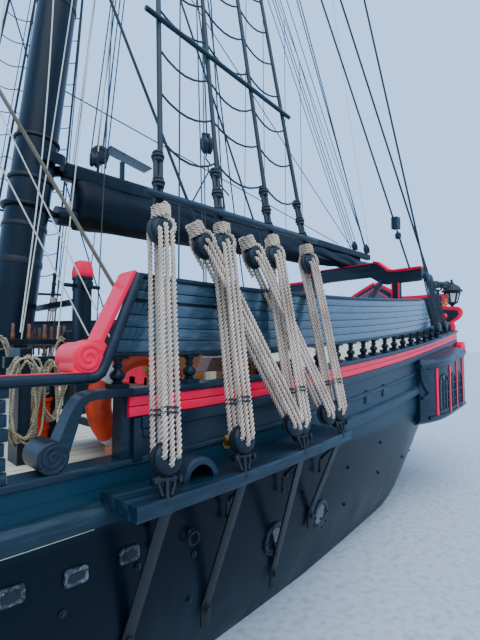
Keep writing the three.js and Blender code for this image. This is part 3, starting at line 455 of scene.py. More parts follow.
# %% [markdown]
# ## Paint on planks
# All the woodwork is brushed paint over open grain. The grain runs along each board, so the noise is
# stretched along that axis. Two things age it: chalky lighter streaks where weather has worn the gloss, and
# small chips that show on the red. One function makes every painted wood, with the colour, the amount of
# grain and the direction as its settings.

# %% Painted woods
ALONG_X, ALONG_Y, ALONG_Z = (0.7, 26, 26), (26, 0.7, 26), (26, 26, 0.7)


def painted(name, colour, worn, grain=0.35, roughness=0.38, run=ALONG_X, chips=0.0, **fixed):
    """Brushed paint over wood whose grain runs one way."""
    finish = Finish(name)
    streaks = finish.noise(run, detail=4.0, roughness=0.65)
    fine = finish.noise(tuple(3.3 * v for v in run), detail=2.0)
    patches = finish.noise((1.3, 1.3, 1.3), detail=3.0)
    wear = (streaks * 0.6 + patches * 0.4).fade(0.45, 0.72)
    colour_now = finish.mix(wear * 0.75, shade(colour), shade(worn))
    gloss = roughness + 0.16 * wear + 0.10 * (fine - 0.5)
    height = streaks * 0.7 + fine * 0.3
    if chips:
        chipped = finish.noise((9, 9, 9), detail=5.0, roughness=0.7).fade(0.66 - chips, 0.70 - chips)
        colour_now = finish.mix(chipped * 0.55, colour_now, shade("6e1218"))
        height = height - chipped * 0.4
    return finish.end(colour_now, gloss, finish.bump(height, grain, 0.004), **fixed)


BLACK = painted("black_paint", "0b1e29", "21404d", grain=0.30, roughness=0.34, Specular_IOR_Level=0.3)
BLACK_UP = painted("black_paint_upright", "0a1821", "1b303c", grain=0.25, roughness=0.34, run=ALONG_Z,
                   Specular_IOR_Level=0.25)
BLACK_ACROSS = painted("black_paint_across", "0c1b25", "223844", grain=0.3, roughness=0.36, run=ALONG_Y,
                       Specular_IOR_Level=0.3)
SPAR = painted("spar_paint", "07151f", "142936", grain=0.18, roughness=0.3, run=(3, 3, 0.4),
               Specular_IOR_Level=0.2)
SCREEN_BLACK = painted("screen_paint", "213c4a", "44606d", grain=0.5, roughness=0.22, Coat_Weight=0.6,
                       Coat_Roughness=0.18)
CHANNEL_BLACK = painted("channel_paint", "0d222e", "37535f", grain=1.0, roughness=0.40,
                        Specular_IOR_Level=0.3)
RED = painted("red_paint", "ff003c", "ff1c50", grain=0.35, roughness=0.3, chips=0.02, Specular_IOR_Level=0.25)
RED_UP = painted("red_paint_upright", "ff003c", "ff1c50", grain=0.2, roughness=0.3, run=ALONG_Z,
                 Specular_IOR_Level=0.25)
CREAM = painted("cream_paint", "d8d0b4", "b9b096", grain=0.25, roughness=0.5)
STRIPE = painted("pale_yellow_paint", "d9d3a6", "b5ad84", grain=0.2, roughness=0.45)
print("painted woods", len(bpy.data.materials))

# %% [markdown]
# The hull itself is smoother than the planks above it: long fair strakes filled and sanded under satin
# paint, with faint seams, a slight waviness that shows in the reflections, and dull stains towards the water.

# %% Hull sides
def hull_paint():
    """Satin black on fair strakes, with stains near the water, a painted highlight above the wale, and
    antifouling below it.
    """
    finish = Finish("hull_side_paint")
    height = finish.axis(2)
    strake_now = (height * 5.2 + finish.axis(0) * 0.03).fraction()
    seam = 1 - ((strake_now - 0.5).size()).fade(0.0, 0.06)
    waves = finish.noise((0.5, 0.5, 1.6), detail=2.0)
    stains = finish.noise((2.2, 2.2, 0.35), detail=5.0, roughness=0.65)
    low = 1 - height.fade(0.1, 1.3)
    dull = (stains * 0.8 + 0.3 * low).fade(0.5, 0.85)
    colour = finish.mix(dull * 0.6, shade("05121b"), shade("1f333f"))
    # painted highlight: above the wale the strakes are coloured lighter, standing in for the sky light that
    # falls on them
    colour = finish.mix(height.fade(1.36, 1.5), colour,
                        finish.mix(dull * 0.6, shade("17333f"), shade("35525e")))
    colour = finish.mix(seam * 0.35, colour, shade("0c151b"))
    below = 1 - height.fade(-0.02, 0.02)
    colour = finish.mix(below, colour, shade("5b2a22"))
    relief = finish.bump(waves, 0.35, 0.05)
    relief = finish.bump(stains - seam * 0.5, 0.15, 0.004, relief)
    return finish.end(colour, 0.3 + 0.2 * dull, relief, Specular_IOR_Level=0.12)


HULL_PAINT = hull_paint()

# %% [markdown]
# ## Bare and tarred things
# The decks are pale planks with black caulking. Lanyards are beige three-strand rope with darker flecks; the
# twist itself is geometry, and the finish adds fibres and painted shade between the strands. The standing
# rigging is served and tarred. Iron is painted black and a little rusty in its corners, and the few metal
# fittings are dull bronze.

# %% Decks, ropes, metals, cloth and glass
def deck_planks(name, colour, worn, width=0.13):
    """Planks along the ship with dark caulking between them."""
    finish = Finish(name)
    across = (finish.axis(1) * (1 / width)).fraction()
    caulk = 1 - ((across - 0.5).size() - 0.5).size().fade(0.015, 0.04)
    grain = finish.noise(ALONG_X, detail=5.0, roughness=0.65)
    patches = finish.noise((0.8, 0.8, 0.8), detail=3.0)
    colour_now = finish.mix(grain * 0.6 + patches * 0.4, shade(colour), shade(worn))
    colour_now = finish.mix(caulk * 0.9, colour_now, shade("23211d"))
    return finish.end(colour_now, 0.62 + 0.15 * grain, finish.bump(grain - caulk, 0.35, 0.004))


def rope(name, colour, dark, flecks=0.5, roughness=0.85, laid=True):
    """Rope fibres: short flecks along the strands, and painted shade between the strands of laid rope."""
    finish = Finish(name)
    fibres = finish.noise((260, 260, 90), detail=3.0, roughness=0.7)
    soil = finish.noise((5, 5, 2.2), detail=4.0)
    colour_now = finish.mix((fibres * 0.55 + soil * 0.45).fade(0.42, 0.66) * flecks,
                            shade(colour), shade(dark))
    if laid:
        # painted shade: laid rope is darkened in the grooves between its strands, away from each strand's
        # crown
        crown = finish.node("ShaderNodeAttribute", {"attribute_name": "crown"}, {}, "Fac")
        colour_now = finish.mix((1 - crown.fade(0.05, 0.6)) * 0.8, colour_now, shade("3a2f27"))
    return finish.end(colour_now, roughness, finish.bump(fibres, 0.5, 0.0015))


def metal(name, colour, worn, metallic, roughness, rust=0.0):
    """Painted or bare metal, with dulled patches and a little rust."""
    finish = Finish(name)
    patches = finish.noise((14, 14, 14), detail=5.0, roughness=0.6)
    dulled = patches.fade(0.45, 0.75)
    colour_now = finish.mix(dulled, shade(colour), shade(worn))
    if rust:
        spots = finish.noise((30, 30, 22), detail=5.0, roughness=0.7).fade(0.66 - rust, 0.74 - rust)
        colour_now = finish.mix(spots * 0.7, colour_now, shade("4a2c1d"))
    return finish.end(colour_now, roughness + 0.2 * dulled, finish.bump(patches, 0.25, 0.002),
                      Metallic=metallic)


def canvas(name, colour, worn):
    """Tightly woven cloth, with its weave and faded folds."""
    finish = Finish(name)
    weave, cross = (finish.node("ShaderNodeTexWave", {"bands_direction": way}, {
        "Vector": finish.place, "Scale": 120.0, "Distortion": 1.2, "Detail": 2.0}, "Fac") for way in "ZX")
    folds = finish.noise((0.9, 2.5, 5), detail=3.0, roughness=0.5)
    faded = folds.fade(0.42, 0.7)
    colour_now = finish.mix(faded * 0.7, shade(colour), shade(worn))
    relief = finish.bump(folds, 0.5, 0.03)
    relief = finish.bump(weave * 0.5 + cross * 0.5, 0.2, 0.0008, relief)
    return finish.end(colour_now, 0.42 + 0.15 * faded, relief, Specular_IOR_Level=0.15)


def plain(name, colour, roughness, **fixed):
    """Moulded plastic, gilding or another even finish, with slight unevenness."""
    finish = Finish(name)
    clouds = finish.noise((11, 11, 11), detail=4.0)
    light = shade(colour)
    dark = tuple(c * 0.72 for c in light[:3]) + (1.0,)
    return finish.end(finish.mix(clouds.fade(0.4, 0.75), light, dark), roughness + 0.15 * clouds,
                      finish.bump(clouds, 0.12, 0.002), **fixed)


PLANKS = deck_planks("deck_planks", "e6dcc3", "bfb193")
QUARTER_PLANKS = deck_planks("quarterdeck_planks", "e4dcc4", "c4ba9c")
VARNISH = painted("varnished_wood", "6d3c1b", "8c5528", grain=0.25, roughness=0.25)
LANYARD = rope("lanyard_rope", "f0d6bc", "8a7058", flecks=0.85)
HEMP = rope("running_rope", "c9bb97", "7c6d52", flecks=0.6)
TARRED = rope("tarred_rope", "0d181f", "27343b", flecks=0.7, roughness=0.6, laid=False)
IRON = metal("black_iron", "070c12", "121b26", 0.1, 0.5, rust=0.04)
BRONZE = metal("dull_bronze", "a8803c", "6c5328", 0.85, 0.38)
GILT = plain("old_gilding", "c9963a", 0.38, Metallic=0.55)
COVER = canvas("sail_cover", "030a13", "0b1b2b")
ORANGE = plain("orange_plastic", "ef4413", 0.34)
WHITE = plain("white_plastic", "dcdbd6", 0.4)
BUFF = plain("buff_float", "d98a66", 0.6)
GLASS = plain("dark_glass", "1c262c", 0.06, Coat_Weight=0.6)
LAMP_GLASS = plain("lamp_glass", "d9dcd4", 0.1, Coat_Weight=0.5)
print("materials", len(bpy.data.materials))

# %% [markdown]
# ## Three trees of Geometry Nodes
# Rigging is one idea repeated: something follows a path, or the same fitting stands at many places. So three
# trees do that work. The first sweeps a three-lobed section along a path while the path twists, which lays
# up rope. The second sweeps a plain round section, for wires, bars and rails. The third stands a copy of a
# fitting at each point of a mesh, turned along a direction that the point carries.

# %% Node trees
def new_tree(name, inputs):
    """An empty geometry tree with named inputs; returns it and the sockets of its inputs."""
    tree = bpy.data.node_groups.new(name, "GeometryNodeTree")
    tree.interface.new_socket("Geometry", in_out="INPUT", socket_type="NodeSocketGeometry")
    for label, kind, value in inputs:
        socket = tree.interface.new_socket(label, in_out="INPUT", socket_type="NodeSocket" + kind)
        if value is not None:
            socket.default_value = value
    tree.interface.new_socket("Material", in_out="INPUT", socket_type="NodeSocketMaterial")
    tree.interface.new_socket("Geometry", in_out="OUTPUT", socket_type="NodeSocketGeometry")
    return tree, tree.nodes.new("NodeGroupInput").outputs


def tree_node(tree, kind, links=None, **settings):
    """Add a node to a geometry tree; links maps its inputs to sockets or values. Returns its outputs."""
    made = tree.nodes.new(kind)
    for key, value in settings.items():
        setattr(made, key, value)
    for key, value in (links or {}).items():
        if isinstance(value, bpy.types.NodeSocket):
            tree.links.new(value, made.inputs[key])
        else:
            made.inputs[key].default_value = value
    return made.outputs


def number(tree, operation, *values):
    """One step of arithmetic in a geometry tree."""
    return tree_node(tree, "ShaderNodeMath", dict(enumerate(values)), operation=operation)[0]


def end_tree(tree, given, geometry):
    """Realize the geometry, give it the material and hand it to the tree's output."""
    whole = tree_node(tree, "GeometryNodeRealizeInstances", {"Geometry": geometry})
    coated = tree_node(tree, "GeometryNodeSetMaterial", {"Geometry": whole[0], "Material": given["Material"]})
    tree.links.new(coated[0], tree.nodes.new("NodeGroupOutput").inputs[0])
    return tree


def sweep_nodes(tree, given, curve, section):
    """Sweep a section along curves and end the tree."""
    swept = tree_node(tree, "GeometryNodeCurveToMesh", {
        "Curve": curve, "Profile Curve": section, "Fill Caps": True})
    return end_tree(tree, given, swept[0])


def rope_tree():
    """Sweep a lobed section along each path and twist it, so that three strands lie round each other."""
    tree, given = new_tree("lay_up_rope", [("Radius", "Float", 0.015), ("Lay", "Float", 0.09),
                                           ("Step", "Float", 0.011), ("Lobes", "Float", 3.0)])
    path = tree_node(tree, "GeometryNodeMeshToCurve", {"Mesh": given["Geometry"]})
    even = tree_node(tree, "GeometryNodeResampleCurve",
                     {"Curve": path[0], "Length": given["Step"]}, mode="LENGTH")
    along = tree_node(tree, "GeometryNodeSplineParameter")
    angle = number(tree, "MULTIPLY", number(tree, "DIVIDE", along["Length"], given["Lay"]), 2 * math.pi)
    twist = tree_node(tree, "GeometryNodeSetCurveTilt", {"Curve": even[0], "Tilt": angle})
    ring = tree_node(tree, "GeometryNodeCurvePrimitiveCircle", {"Resolution": 9, "Radius": 1.0})
    share = tree_node(tree, "GeometryNodeSplineParameter")["Factor"]
    lobes = number(tree, "MULTIPLY", number(tree, "MULTIPLY", share, 2 * math.pi), given["Lobes"])
    wave = number(tree, "COSINE", lobes)
    wide = number(tree, "MULTIPLY", number(tree, "MULTIPLY_ADD", wave, 0.2, 0.84), given["Radius"])
    here = tree_node(tree, "GeometryNodeInputPosition")
    out = tree_node(tree, "ShaderNodeVectorMath", {0: here[0], "Scale": wide}, operation="SCALE")
    # crown is 1 on the top of a strand and 0 in the groove between strands; the rope finish uses it for
    # painted shade
    marked = tree_node(tree, "GeometryNodeStoreNamedAttribute", {
        "Geometry": ring[0], "Name": "crown", "Value": number(tree, "MULTIPLY_ADD", wave, 0.5, 0.5)},
        data_type="FLOAT", domain="POINT")
    section = tree_node(tree, "GeometryNodeSetPosition", {"Geometry": marked[0], "Position": out[0]})
    return sweep_nodes(tree, given, twist[0], section[0])


def bar_tree():
    """Sweep a plain round section along each path."""
    tree, given = new_tree("round_bar", [("Radius", "Float", 0.01), ("Sides", "Int", 6)])
    path = tree_node(tree, "GeometryNodeMeshToCurve", {"Mesh": given["Geometry"]})
    ring = tree_node(tree, "GeometryNodeCurvePrimitiveCircle", {
        "Resolution": given["Sides"], "Radius": given["Radius"]})
    return sweep_nodes(tree, given, path[0], ring[0])


def row_tree():
    """Stand a fitting at each point, at the point's own size, its Z axis along the point's direction."""
    tree, given = new_tree("stand_in_rows", [("Fitting", "Object", None)])
    model = tree_node(tree, "GeometryNodeObjectInfo", {"Object": given["Fitting"]})
    way, size, face = (tree_node(tree, "GeometryNodeInputNamedAttribute", {"Name": label}, data_type=kind)
                       for label, kind in (("way", "FLOAT_VECTOR"), ("size", "FLOAT"),
                                           ("face", "FLOAT_VECTOR")))
    upright = tree_node(tree, "FunctionNodeAlignRotationToVector", {"Vector": way[0]}, axis="Z")
    facing = tree_node(tree, "FunctionNodeAlignRotationToVector", {
        "Rotation": upright[0], "Vector": face[0]}, axis="X", pivot_axis="Z")
    stood = tree_node(tree, "GeometryNodeInstanceOnPoints", {
        "Points": given["Geometry"], "Instance": model["Geometry"], "Rotation": facing[0], "Scale": size[0]})
    return end_tree(tree, given, stood[0])


ROPE_TREE, BAR_TREE, ROW_TREE = rope_tree(), bar_tree(), row_tree()


def grown(name, seed_mesh, tree, values, body, replaces=(), smooth=50):
    """Run a tree on a seed mesh and keep the result as a plain mesh on its body."""
    seed = bpy.data.objects.new(name + "_seed", seed_mesh)
    bpy.context.scene.collection.objects.link(seed)
    modifier = seed.modifiers.new("grow", "NODES")
    modifier.node_group = tree
    sockets = {s.name: s.identifier for s in tree.interface.items_tree if s.in_out == "INPUT"}
    for label, value in values.items():
        modifier[sockets[label]] = value
    mesh = bpy.data.meshes.new_from_object(seed.evaluated_get(bpy.context.evaluated_depsgraph_get()))
    mesh.name = name
    bpy.data.objects.remove(seed)
    return hand_over(name, mesh, body, replaces, smooth)


def paths_mesh(paths):
    """A mesh of loose edges, one chain for each path."""
    verts, edges = [], []
    for path in paths:
        start = len(verts)
        verts += [tuple(p) for p in path]
        edges += [(start + i, start + i + 1) for i in range(len(path) - 1)]
    mesh = bpy.data.meshes.new("paths")
    mesh.from_pydata(verts, edges, [])
    return mesh


def lay_ropes(name, paths, radius, material, lay, step):
    """Three-strand ropes along paths; lay is the length of one twist."""
    values = {"Radius": radius, "Lay": lay, "Step": step, "Material": material}
    return grown(name, paths_mesh(paths), ROPE_TREE, values, "ship", smooth=80)


def run_bars(name, paths, radius, material, body="ship", sides=6, replaces=()):
    """Plain round bars or thin lines along paths."""
    values = {"Radius": radius, "Sides": sides, "Material": material}
    return grown(name, paths_mesh(paths), BAR_TREE, values, body, replaces)


def stand_rows(name, spots, fitting, material, body="ship"):
    """Copies of a fitting at (point, way, size, face) spots. The fitting is a Shape that stands along Z."""
    mesh = bpy.data.meshes.new(name + "_spots")
    mesh.from_pydata([tuple(spot[0]) for spot in spots], [], [])
    for label, k in (("way", 1), ("face", 3)):
        mesh.attributes.new(label, "FLOAT_VECTOR", "POINT").data.foreach_set(
            "vector", [v for spot in spots for v in spot[k]])
    mesh.attributes.new("size", "FLOAT", "POINT").data.foreach_set("value", [spot[2] for spot in spots])
    model_mesh = bpy.data.meshes.new(name + "_model")
    model_mesh.from_pydata([tuple(v) for v in fitting.verts], [], fitting.faces)
    model = bpy.data.objects.new(name + "_model", model_mesh)
    thing = grown(name, mesh, ROW_TREE, {"Fitting": model, "Material": material}, body, smooth=40)
    bpy.data.objects.remove(model)
    return thing


def starboard(v):
    """A place or a direction on the starboard side."""
    return Vector((v[0], -v[1], v[2]))


def mirror_points(points):
    """The same points on the starboard side."""
    return [starboard(p) for p in points]


def stand_pair(name, spots, fitting, material):
    """Rows of a fitting at port spots and at their mirror images."""
    for end, sign in ENDS:
        turn = starboard if sign < 0 else tuple
        stand_rows(f"{name}_{end}", [(turn(p), turn(way), size, turn(face)) for p, way, size, face in spots],
                   fitting, material)


print("node trees", [tree.name for tree in (ROPE_TREE, BAR_TREE, ROW_TREE)])

# %% [markdown]
# ## Floor, sky and light
# The ship floats with its water plane on a plain pale floor, so the floor hides what is under water. The sky
# is an even, pale blue-grey, as on an overcast day, and one wide soft lamp gives the tops of things a little
# more light than their undersides.

# %% Studio
def studio():
    """Floor at the water, an even sky and one soft lamp."""
    bpy.ops.mesh.primitive_plane_add(size=600)
    floor = bpy.context.object
    floor.name = "floor"
    floor.data.materials.append(plain("pale_floor", "b9c1c6", 0.7))
    world = bpy.context.scene.world or bpy.data.worlds.new("sky")
    bpy.context.scene.world = world
    world.use_nodes = True
    sky = world.node_tree.nodes["Background"]
    sky.inputs["Color"].default_value = shade("a3ccff")
    sky.inputs["Strength"].default_value = 1.85
    lamp = bpy.data.lights.new("overcast", "SUN")
    lamp.energy, lamp.angle, lamp.color = 2.4, 1.2, (1.0, 0.96, 0.9)
    sun = bpy.data.objects.new("overcast", lamp)
    sun.rotation_euler = Vector((-0.25, -0.5, -1)).to_track_quat("-Z", "Y").to_euler()
    bpy.context.scene.collection.objects.link(sun)


studio()
print("floor and light ready")

# %% [markdown]
# ## Hull
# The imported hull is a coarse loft. Here the same curves are sampled every 0.3 m, so that the long reflection
# along the side runs smoothly. The opening for the screw is cut out as on the solid one.

# %% Hull, wale and stripe
def cut_away(thing, shape):
    """Cut a shape out of a piece and keep the result as its mesh."""
    tool = bpy.data.objects.new("tool", mesh_of("tool", shape))
    bpy.context.scene.collection.objects.link(tool)
    knife = thing.modifiers.new("knife", "BOOLEAN")
    knife.operation, knife.object, knife.solver = "DIFFERENCE", tool, "EXACT"
    cut = bpy.data.meshes.new_from_object(thing.evaluated_get(bpy.context.evaluated_depsgraph_get()))
    thing.modifiers.remove(knife)
    thing.data = cut
    bpy.data.objects.remove(tool)


def hull_ring(x):
    """One frame of the hull, from the keel up to the covering board and down to the deck's edge."""
    bottom, up = frame_at(x)[0], rise(x)
    top = WALE_Z + up
    half = [(hull_half(x, bottom + (top - bottom) * s), bottom + (top - bottom) * s)
            for s in (t ** 0.8 for t in spread(0, 1, 22))]
    inner = max(side(x) - BOARD_WIDTH, 0.04)
    half += [(side(x), SILL_Z - 0.012 + up), (side(x) - 0.012, SILL_Z + up), (inner, SILL_Z + up),
             (inner, 1.64 + up)]
    lean = transom_shift if x == TRANSOM_X else (lambda z: 0)
    port = [(x + lean(z), y, z) for y, z in half]
    return port + [(px, -y, z) for px, y, z in port[::-1]]


hull_places = sorted({*spread(TRANSOM_X, STEM_X, 80), *FRAMES[:, 0].tolist()})
hull = place("hull_planking", Shape().loft([hull_ring(x) for x in hull_places]), HULL_PAINT,
             slot="hull_paint", replaces=["hull"])
cut_away(hull, Shape().box((-10.33, -0.9, -2.15), (-9.78, 0.9, -0.95)))

WALE_SECTION = [(-0.03, 0.0), (0.052, 0.0), (0.06, 0.008), (0.06, 0.085), (0.054, 0.097),
                (0.012, 0.13), (-0.03, 0.135)]
wale = strip(Shape(), 12.35, TRANSOM_X, [(out, WALE_Z + up) for out, up in WALE_SECTION], lean1=transom_shift)
place_pair("wale", wale, CHANNEL_BLACK, slot="hull_paint")
place_pair("pale_stripe", strip(Shape(), 11.8, -3.18, board(-0.02, 0.006, 1.425, 1.443)), STRIPE)
print("hull faces", len(hull.data.polygons))

# %% [markdown]
# ## Decks
# Each deck follows its camber, with the planks drawn by the finish. The quarterdeck is painted a pale cream.

# %% Decks
def deck(x0, x1, z, edge):
    """A cambered plate between two places."""
    rings = []
    for x in spread(x0, x1, 40):
        half = max(side(x) - BOARD_WIDTH, 0.04) - edge
        lean = transom_shift(z + rise(x)) if x1 == TRANSOM_X and x == x1 else 0
        top = [(x + lean, half * s, z + rise(x) + 0.078 * (1 - s * s)) for s in spread(1, -1, 12)]
        rings.append([(x + lean, half, 1.641 + rise(x)), *top, (x + lean, -half, 1.641 + rise(x))])
    return Shape().loft(rings)


place("waist_planks", deck(12.2, BREAK_X + 0.001, DECK_Z, 0.002), PLANKS, slot="deck_planks",
      replaces=["waist_deck"])
place("quarterdeck_planking", deck(BREAK_X, TRANSOM_X, QUARTERDECK_Z, 0.014), QUARTER_PLANKS,
      slot="deck_planks", replaces=["quarterdeck"])
print("decks placed")

# %% [markdown]
# ## Bulwark ahead of the entry
# Seven rough-sawn planks with open seams, a pale inner face, and a rail: a round bar outside a flat cap with
# a thin red top. The same bar runs on over the entry, so it is made long enough to meet the red volute.

# %% Waist bulwark
waist = Shape()
PLANK_ENDS = (12.3, 8.1, 3.6, -0.4, ENTRY_FORE_X)
for k, z in enumerate(spread(SILL_Z, RAIL_Z, 7)[:-1]):
    ends = [PLANK_ENDS[0], *[x + 0.9 * (k % 2) for x in PLANK_ENDS[1:-1]], PLANK_ENDS[-1] + 0.008 * (k % 3)]
    for x0, x1 in zip(ends, ends[1:]):
        strip(waist, x0, x1 + 0.004, rounded(board(-0.04, 0.004 * (k % 2), z + 0.002, z + 0.067), 0.007, 2))
place_pair("waist_planking", waist, CHANNEL_BLACK, slot="hull_paint", replaces=["waist_bulwark"])
lining = strip(Shape(), 12.3, ENTRY_FORE_X - 0.01, board(-0.09, -0.042, SILL_Z + 0.002, RAIL_Z))
place_pair("waist_lining", lining, CREAM)
bar = [(x, side(x) + 0.005, RAIL_Z + 0.012 + rise(x)) for x in spread(12.2, -3.16, 52)]
rail = Shape().tube(bar, 0.034, sides=12)
strip(rail, 12.25, ENTRY_FORE_X, rounded(board(-0.15, -0.01, RAIL_Z - 0.01, RAIL_Z + 0.04), 0.012, 2))
place_pair("waist_rail", rail, BLACK, slot="hull_paint")
rail_top = rounded(board(-0.03, 0.01, RAIL_Z + 0.036, RAIL_Z + 0.049), 0.005, 2)
place_pair("waist_rail_top", strip(Shape(), 12.2, -3.14, rail_top), RED)
print("waist bulwark placed")

# %% [markdown]
# ## Quarter works
# From the entry aft come, from below: a recessed bulwark with a raised frame round its forward end, a
# ledge, the red band in two planks, a black cap that carries turned balusters, and on them the weather
# screen. Its planks have dark seams and staggered butts. The two upper ones start a little short, and a
# wider seam at their forward end leaves the narrow slit that the photo shows.

# %% Quarter bulwark, red band and caps
lower = strip(Shape(), ENTRY_AFT_X, TRANSOM_X, board(-0.10, -0.004, SILL_Z + 0.001, BAND_Z),
              lean1=transom_shift)
strip(lower, ENTRY_AFT_X + 0.02, ENTRY_AFT_X - 0.055,
      rounded(board(-0.118, -0.002, SILL_Z - 0.01, BAND_TOP_Z), 0.008), 0.075)
strip(lower, ENTRY_AFT_X - 0.06, ENTRY_AFT_X - 0.125,
      rounded(board(-0.02, 0.024, SILL_Z - 0.02, BAND_Z - 0.01), 0.01), 0.065)
strip(lower, ENTRY_AFT_X - 0.135, -3.57, rounded(board(-0.02, 0.02, 1.915, 1.975), 0.008), 0.04)
strip(lower, ENTRY_AFT_X - 0.12, TRANSOM_X,
      rounded(board(-0.02, 0.034, BAND_Z - 0.09, BAND_Z - 0.004), 0.012), lean1=transom_shift)
sill_edge = strip(Shape(), 12.3, TRANSOM_X,
                  rounded(board(-0.03, 0.014, SILL_Z - 0.042, SILL_Z + 0.006), 0.012), lean1=transom_shift)
place_pair("sill_edge", sill_edge, CHANNEL_BLACK)
place_pair("lower_bulwark", lower, BLACK, slot="hull_paint", replaces=["quarter_bulwark"])
lining = board(-0.112, -0.101, SILL_Z, BAND_TOP_Z)
place_pair("quarter_lining", strip(Shape(), ENTRY_AFT_X - 0.01, TRANSOM_X, lining,
                                   lean1=transom_shift), CREAM)
red_band = Shape()
for z0, z1, joints in ((BAND_Z, 2.123, (-5.35, -8.3, -10.4)), (2.127, BAND_TOP_Z, (-4.45, -6.9, -9.6))):
    ends = [ENTRY_AFT_X - 0.02, *joints, TRANSOM_X]
    for x0, x1 in zip(ends, ends[1:]):
        last = transom_shift if x1 == TRANSOM_X else None
        strip(red_band, x0, x1 + 0.003, rounded(board(-0.04, 0.025, z0, z1), 0.006, 2), lean1=last)
place_pair("red_band", red_band, RED, slot="red_trim")
cap = rounded(board(-0.12, 0.045, BAND_TOP_Z + 0.002, BAND_TOP_Z + 0.05), 0.02)
place_pair("band_cap", strip(Shape(), -3.36, TRANSOM_X, cap, lean1=transom_shift), BLACK)

BALUSTER = Shape().box((-0.055, -0.055, 0), (0.055, 0.055, 0.032))
BALUSTER.box((-0.052, -0.052, 0.19), (0.052, 0.052, 0.232))
BALUSTER.turned((0, 0, 0.03), (0, 0, 1), [
    (0, 0.034), (0.01, 0.038), (0.02, 0.028), (0.036, 0.046), (0.056, 0.052), (0.074, 0.044), (0.09, 0.026),
    (0.1, 0.022), (0.108, 0.034), (0.118, 0.034), (0.126, 0.024), (0.14, 0.027), (0.162, 0.04)], 14)
BALUSTER_XS = [-3.35, -3.97, -4.45, -4.93, -5.4, -5.87, -6.31, -6.68, -7.06, -7.4, -7.82, -8.2, -8.6, -9.01,
               -9.41, -9.8, -10.22, -10.62, -11.02, -11.42]
stand_pair("balusters", [((x, side(x) - 0.045, BAND_TOP_Z + 0.05 + rise(x)), (0, 0, 1), 1.0, (1, 0, 0))
                         for x in BALUSTER_XS], BALUSTER, BLACK_UP)
print("balusters", 2 * len(BALUSTER_XS))

# %% Weather screen
def screen_fore(z):
    """The screen's sloping forward end."""
    return -0.3 * (z - SCREEN_Z)


def screen_aft(z):
    """Its aft end, which leans the other way."""
    return 0.9 * (z - SCREEN_Z - rise(SCREEN_END_X)) - 0.45


SCREEN_FORE_X = -3.28
screen, backing = Shape(), Shape()
SCREEN_PLANK = (SCREEN_TOP_Z - SCREEN_Z) / 6
BUTTS = ((-5.2, -7.6), (-6.15, -8.75), (-4.9, -7.1), (-5.75, -8.2), (-4.45, -6.65, -9.1), (-5.5, -7.9))
for k, joints in enumerate(BUTTS):
    z0, z1 = SCREEN_Z + k * SCREEN_PLANK, SCREEN_Z + (k + 1) * SCREEN_PLANK
    first = SCREEN_FORE_X if k < 4 else SCREEN_FORE_X - 0.03
    ends = [first, *joints, SCREEN_END_X]
    for i, (x0, x1) in enumerate(zip(ends, ends[1:])):
        lean0 = screen_fore if i == 0 else None
        lean1 = screen_aft if x1 == SCREEN_END_X else None
        low = 0.022 if k == 4 and i == 0 else 0.002
        strip(screen, x0, x1 + 0.004, rounded(board(-0.03, 0.004 * (k % 2), z0 + low, z1 - 0.002), 0.005, 2),
              lean0=lean0, lean1=lean1)
strip(backing, SCREEN_FORE_X - 0.03, SCREEN_END_X + 0.03, board(-0.07, -0.028, SCREEN_Z, SCREEN_TOP_Z - 0.02),
      lean0=screen_fore, lean1=screen_aft)
place_pair("screen_planks", screen, SCREEN_BLACK, slot="hull_paint")
place_pair("screen_backing", backing, BLACK)
cap = strip(Shape(), SCREEN_FORE_X - 0.17, SCREEN_END_X + 0.2,
            rounded(board(-0.10, 0.028, SCREEN_TOP_Z - 0.006, SCREEN_TOP_Z + 0.03), 0.016))
strip(cap, SCREEN_FORE_X, -11.6, rounded(board(-0.085, 0.02, SCREEN_Z - 0.024, SCREEN_Z + 0.002), 0.01))
place_pair("screen_cap", cap, BLACK_ACROSS, slot="hull_paint")
print("screen planks", sum(len(j) + 1 for j in BUTTS) * 2)

# %% [markdown]
# ## The entry
# The rail bar comes in over the opening, meets the red volute and climbs beside the sloping red board as a
# round moulding. The cap of the band comes forward, drops in an S and ends in the black volute on the sill.
# Both volutes are rolls with a carved spiral on their outer faces.

# %% Entry scrolls
def spiral(shape, centre, y, r0, r1, turns, width, height, start=0.0, way=1):
    """A raised spiral on a flat face that looks to port."""
    steps = int(26 * turns)
    path = []
    for t in spread(0, 1, steps):
        r, a = r0 + (r1 - r0) * t, start + way * t * turns * 2 * math.pi
        path.append((centre[0] + r * math.cos(a), y, centre[1] + r * math.sin(a)))
    section = [(-width / 2, -height), (width / 2, -height), (width / 2, height * 0.6), (width / 3, height),
               (-width / 3, height), (-width / 2, height * 0.6)]
    return shape.sweep(path, section, up=(0, 1, 0))


def roll(centre, y0, y1, r, sides=28):
    """A roll between two breadths, with softened edges."""
    return Shape().turned((centre[0], y0, centre[1]), (0, 1, 0), [
        (0, r - 0.01), (0.01, r), (y1 - y0 - 0.008, r), (y1 - y0, r - 0.008)], sides)


def ribbon(path, thick, y0, y1):
    """A bent board: a path in x and z with a thickness, between two breadths."""
    points = [Vector(p) for p in path]
    left, right = [], []
    for i, p in enumerate(points):
        way = (points[min(i + 1, len(points) - 1)] - points[max(i - 1, 0)]).normalized()
        off = Vector((-way.y, way.x)) * (thick[i] / 2 if isinstance(thick, list) else thick / 2)
        left.append(tuple(p + off))
        right.append(tuple(p - off))
    return Shape().loft([[(l[0], y0, l[1]), (l[0], y1, l[1]), (r[0], y1, r[1]), (r[0], y0, r[1])]
                         for l, r in zip(left, right)])


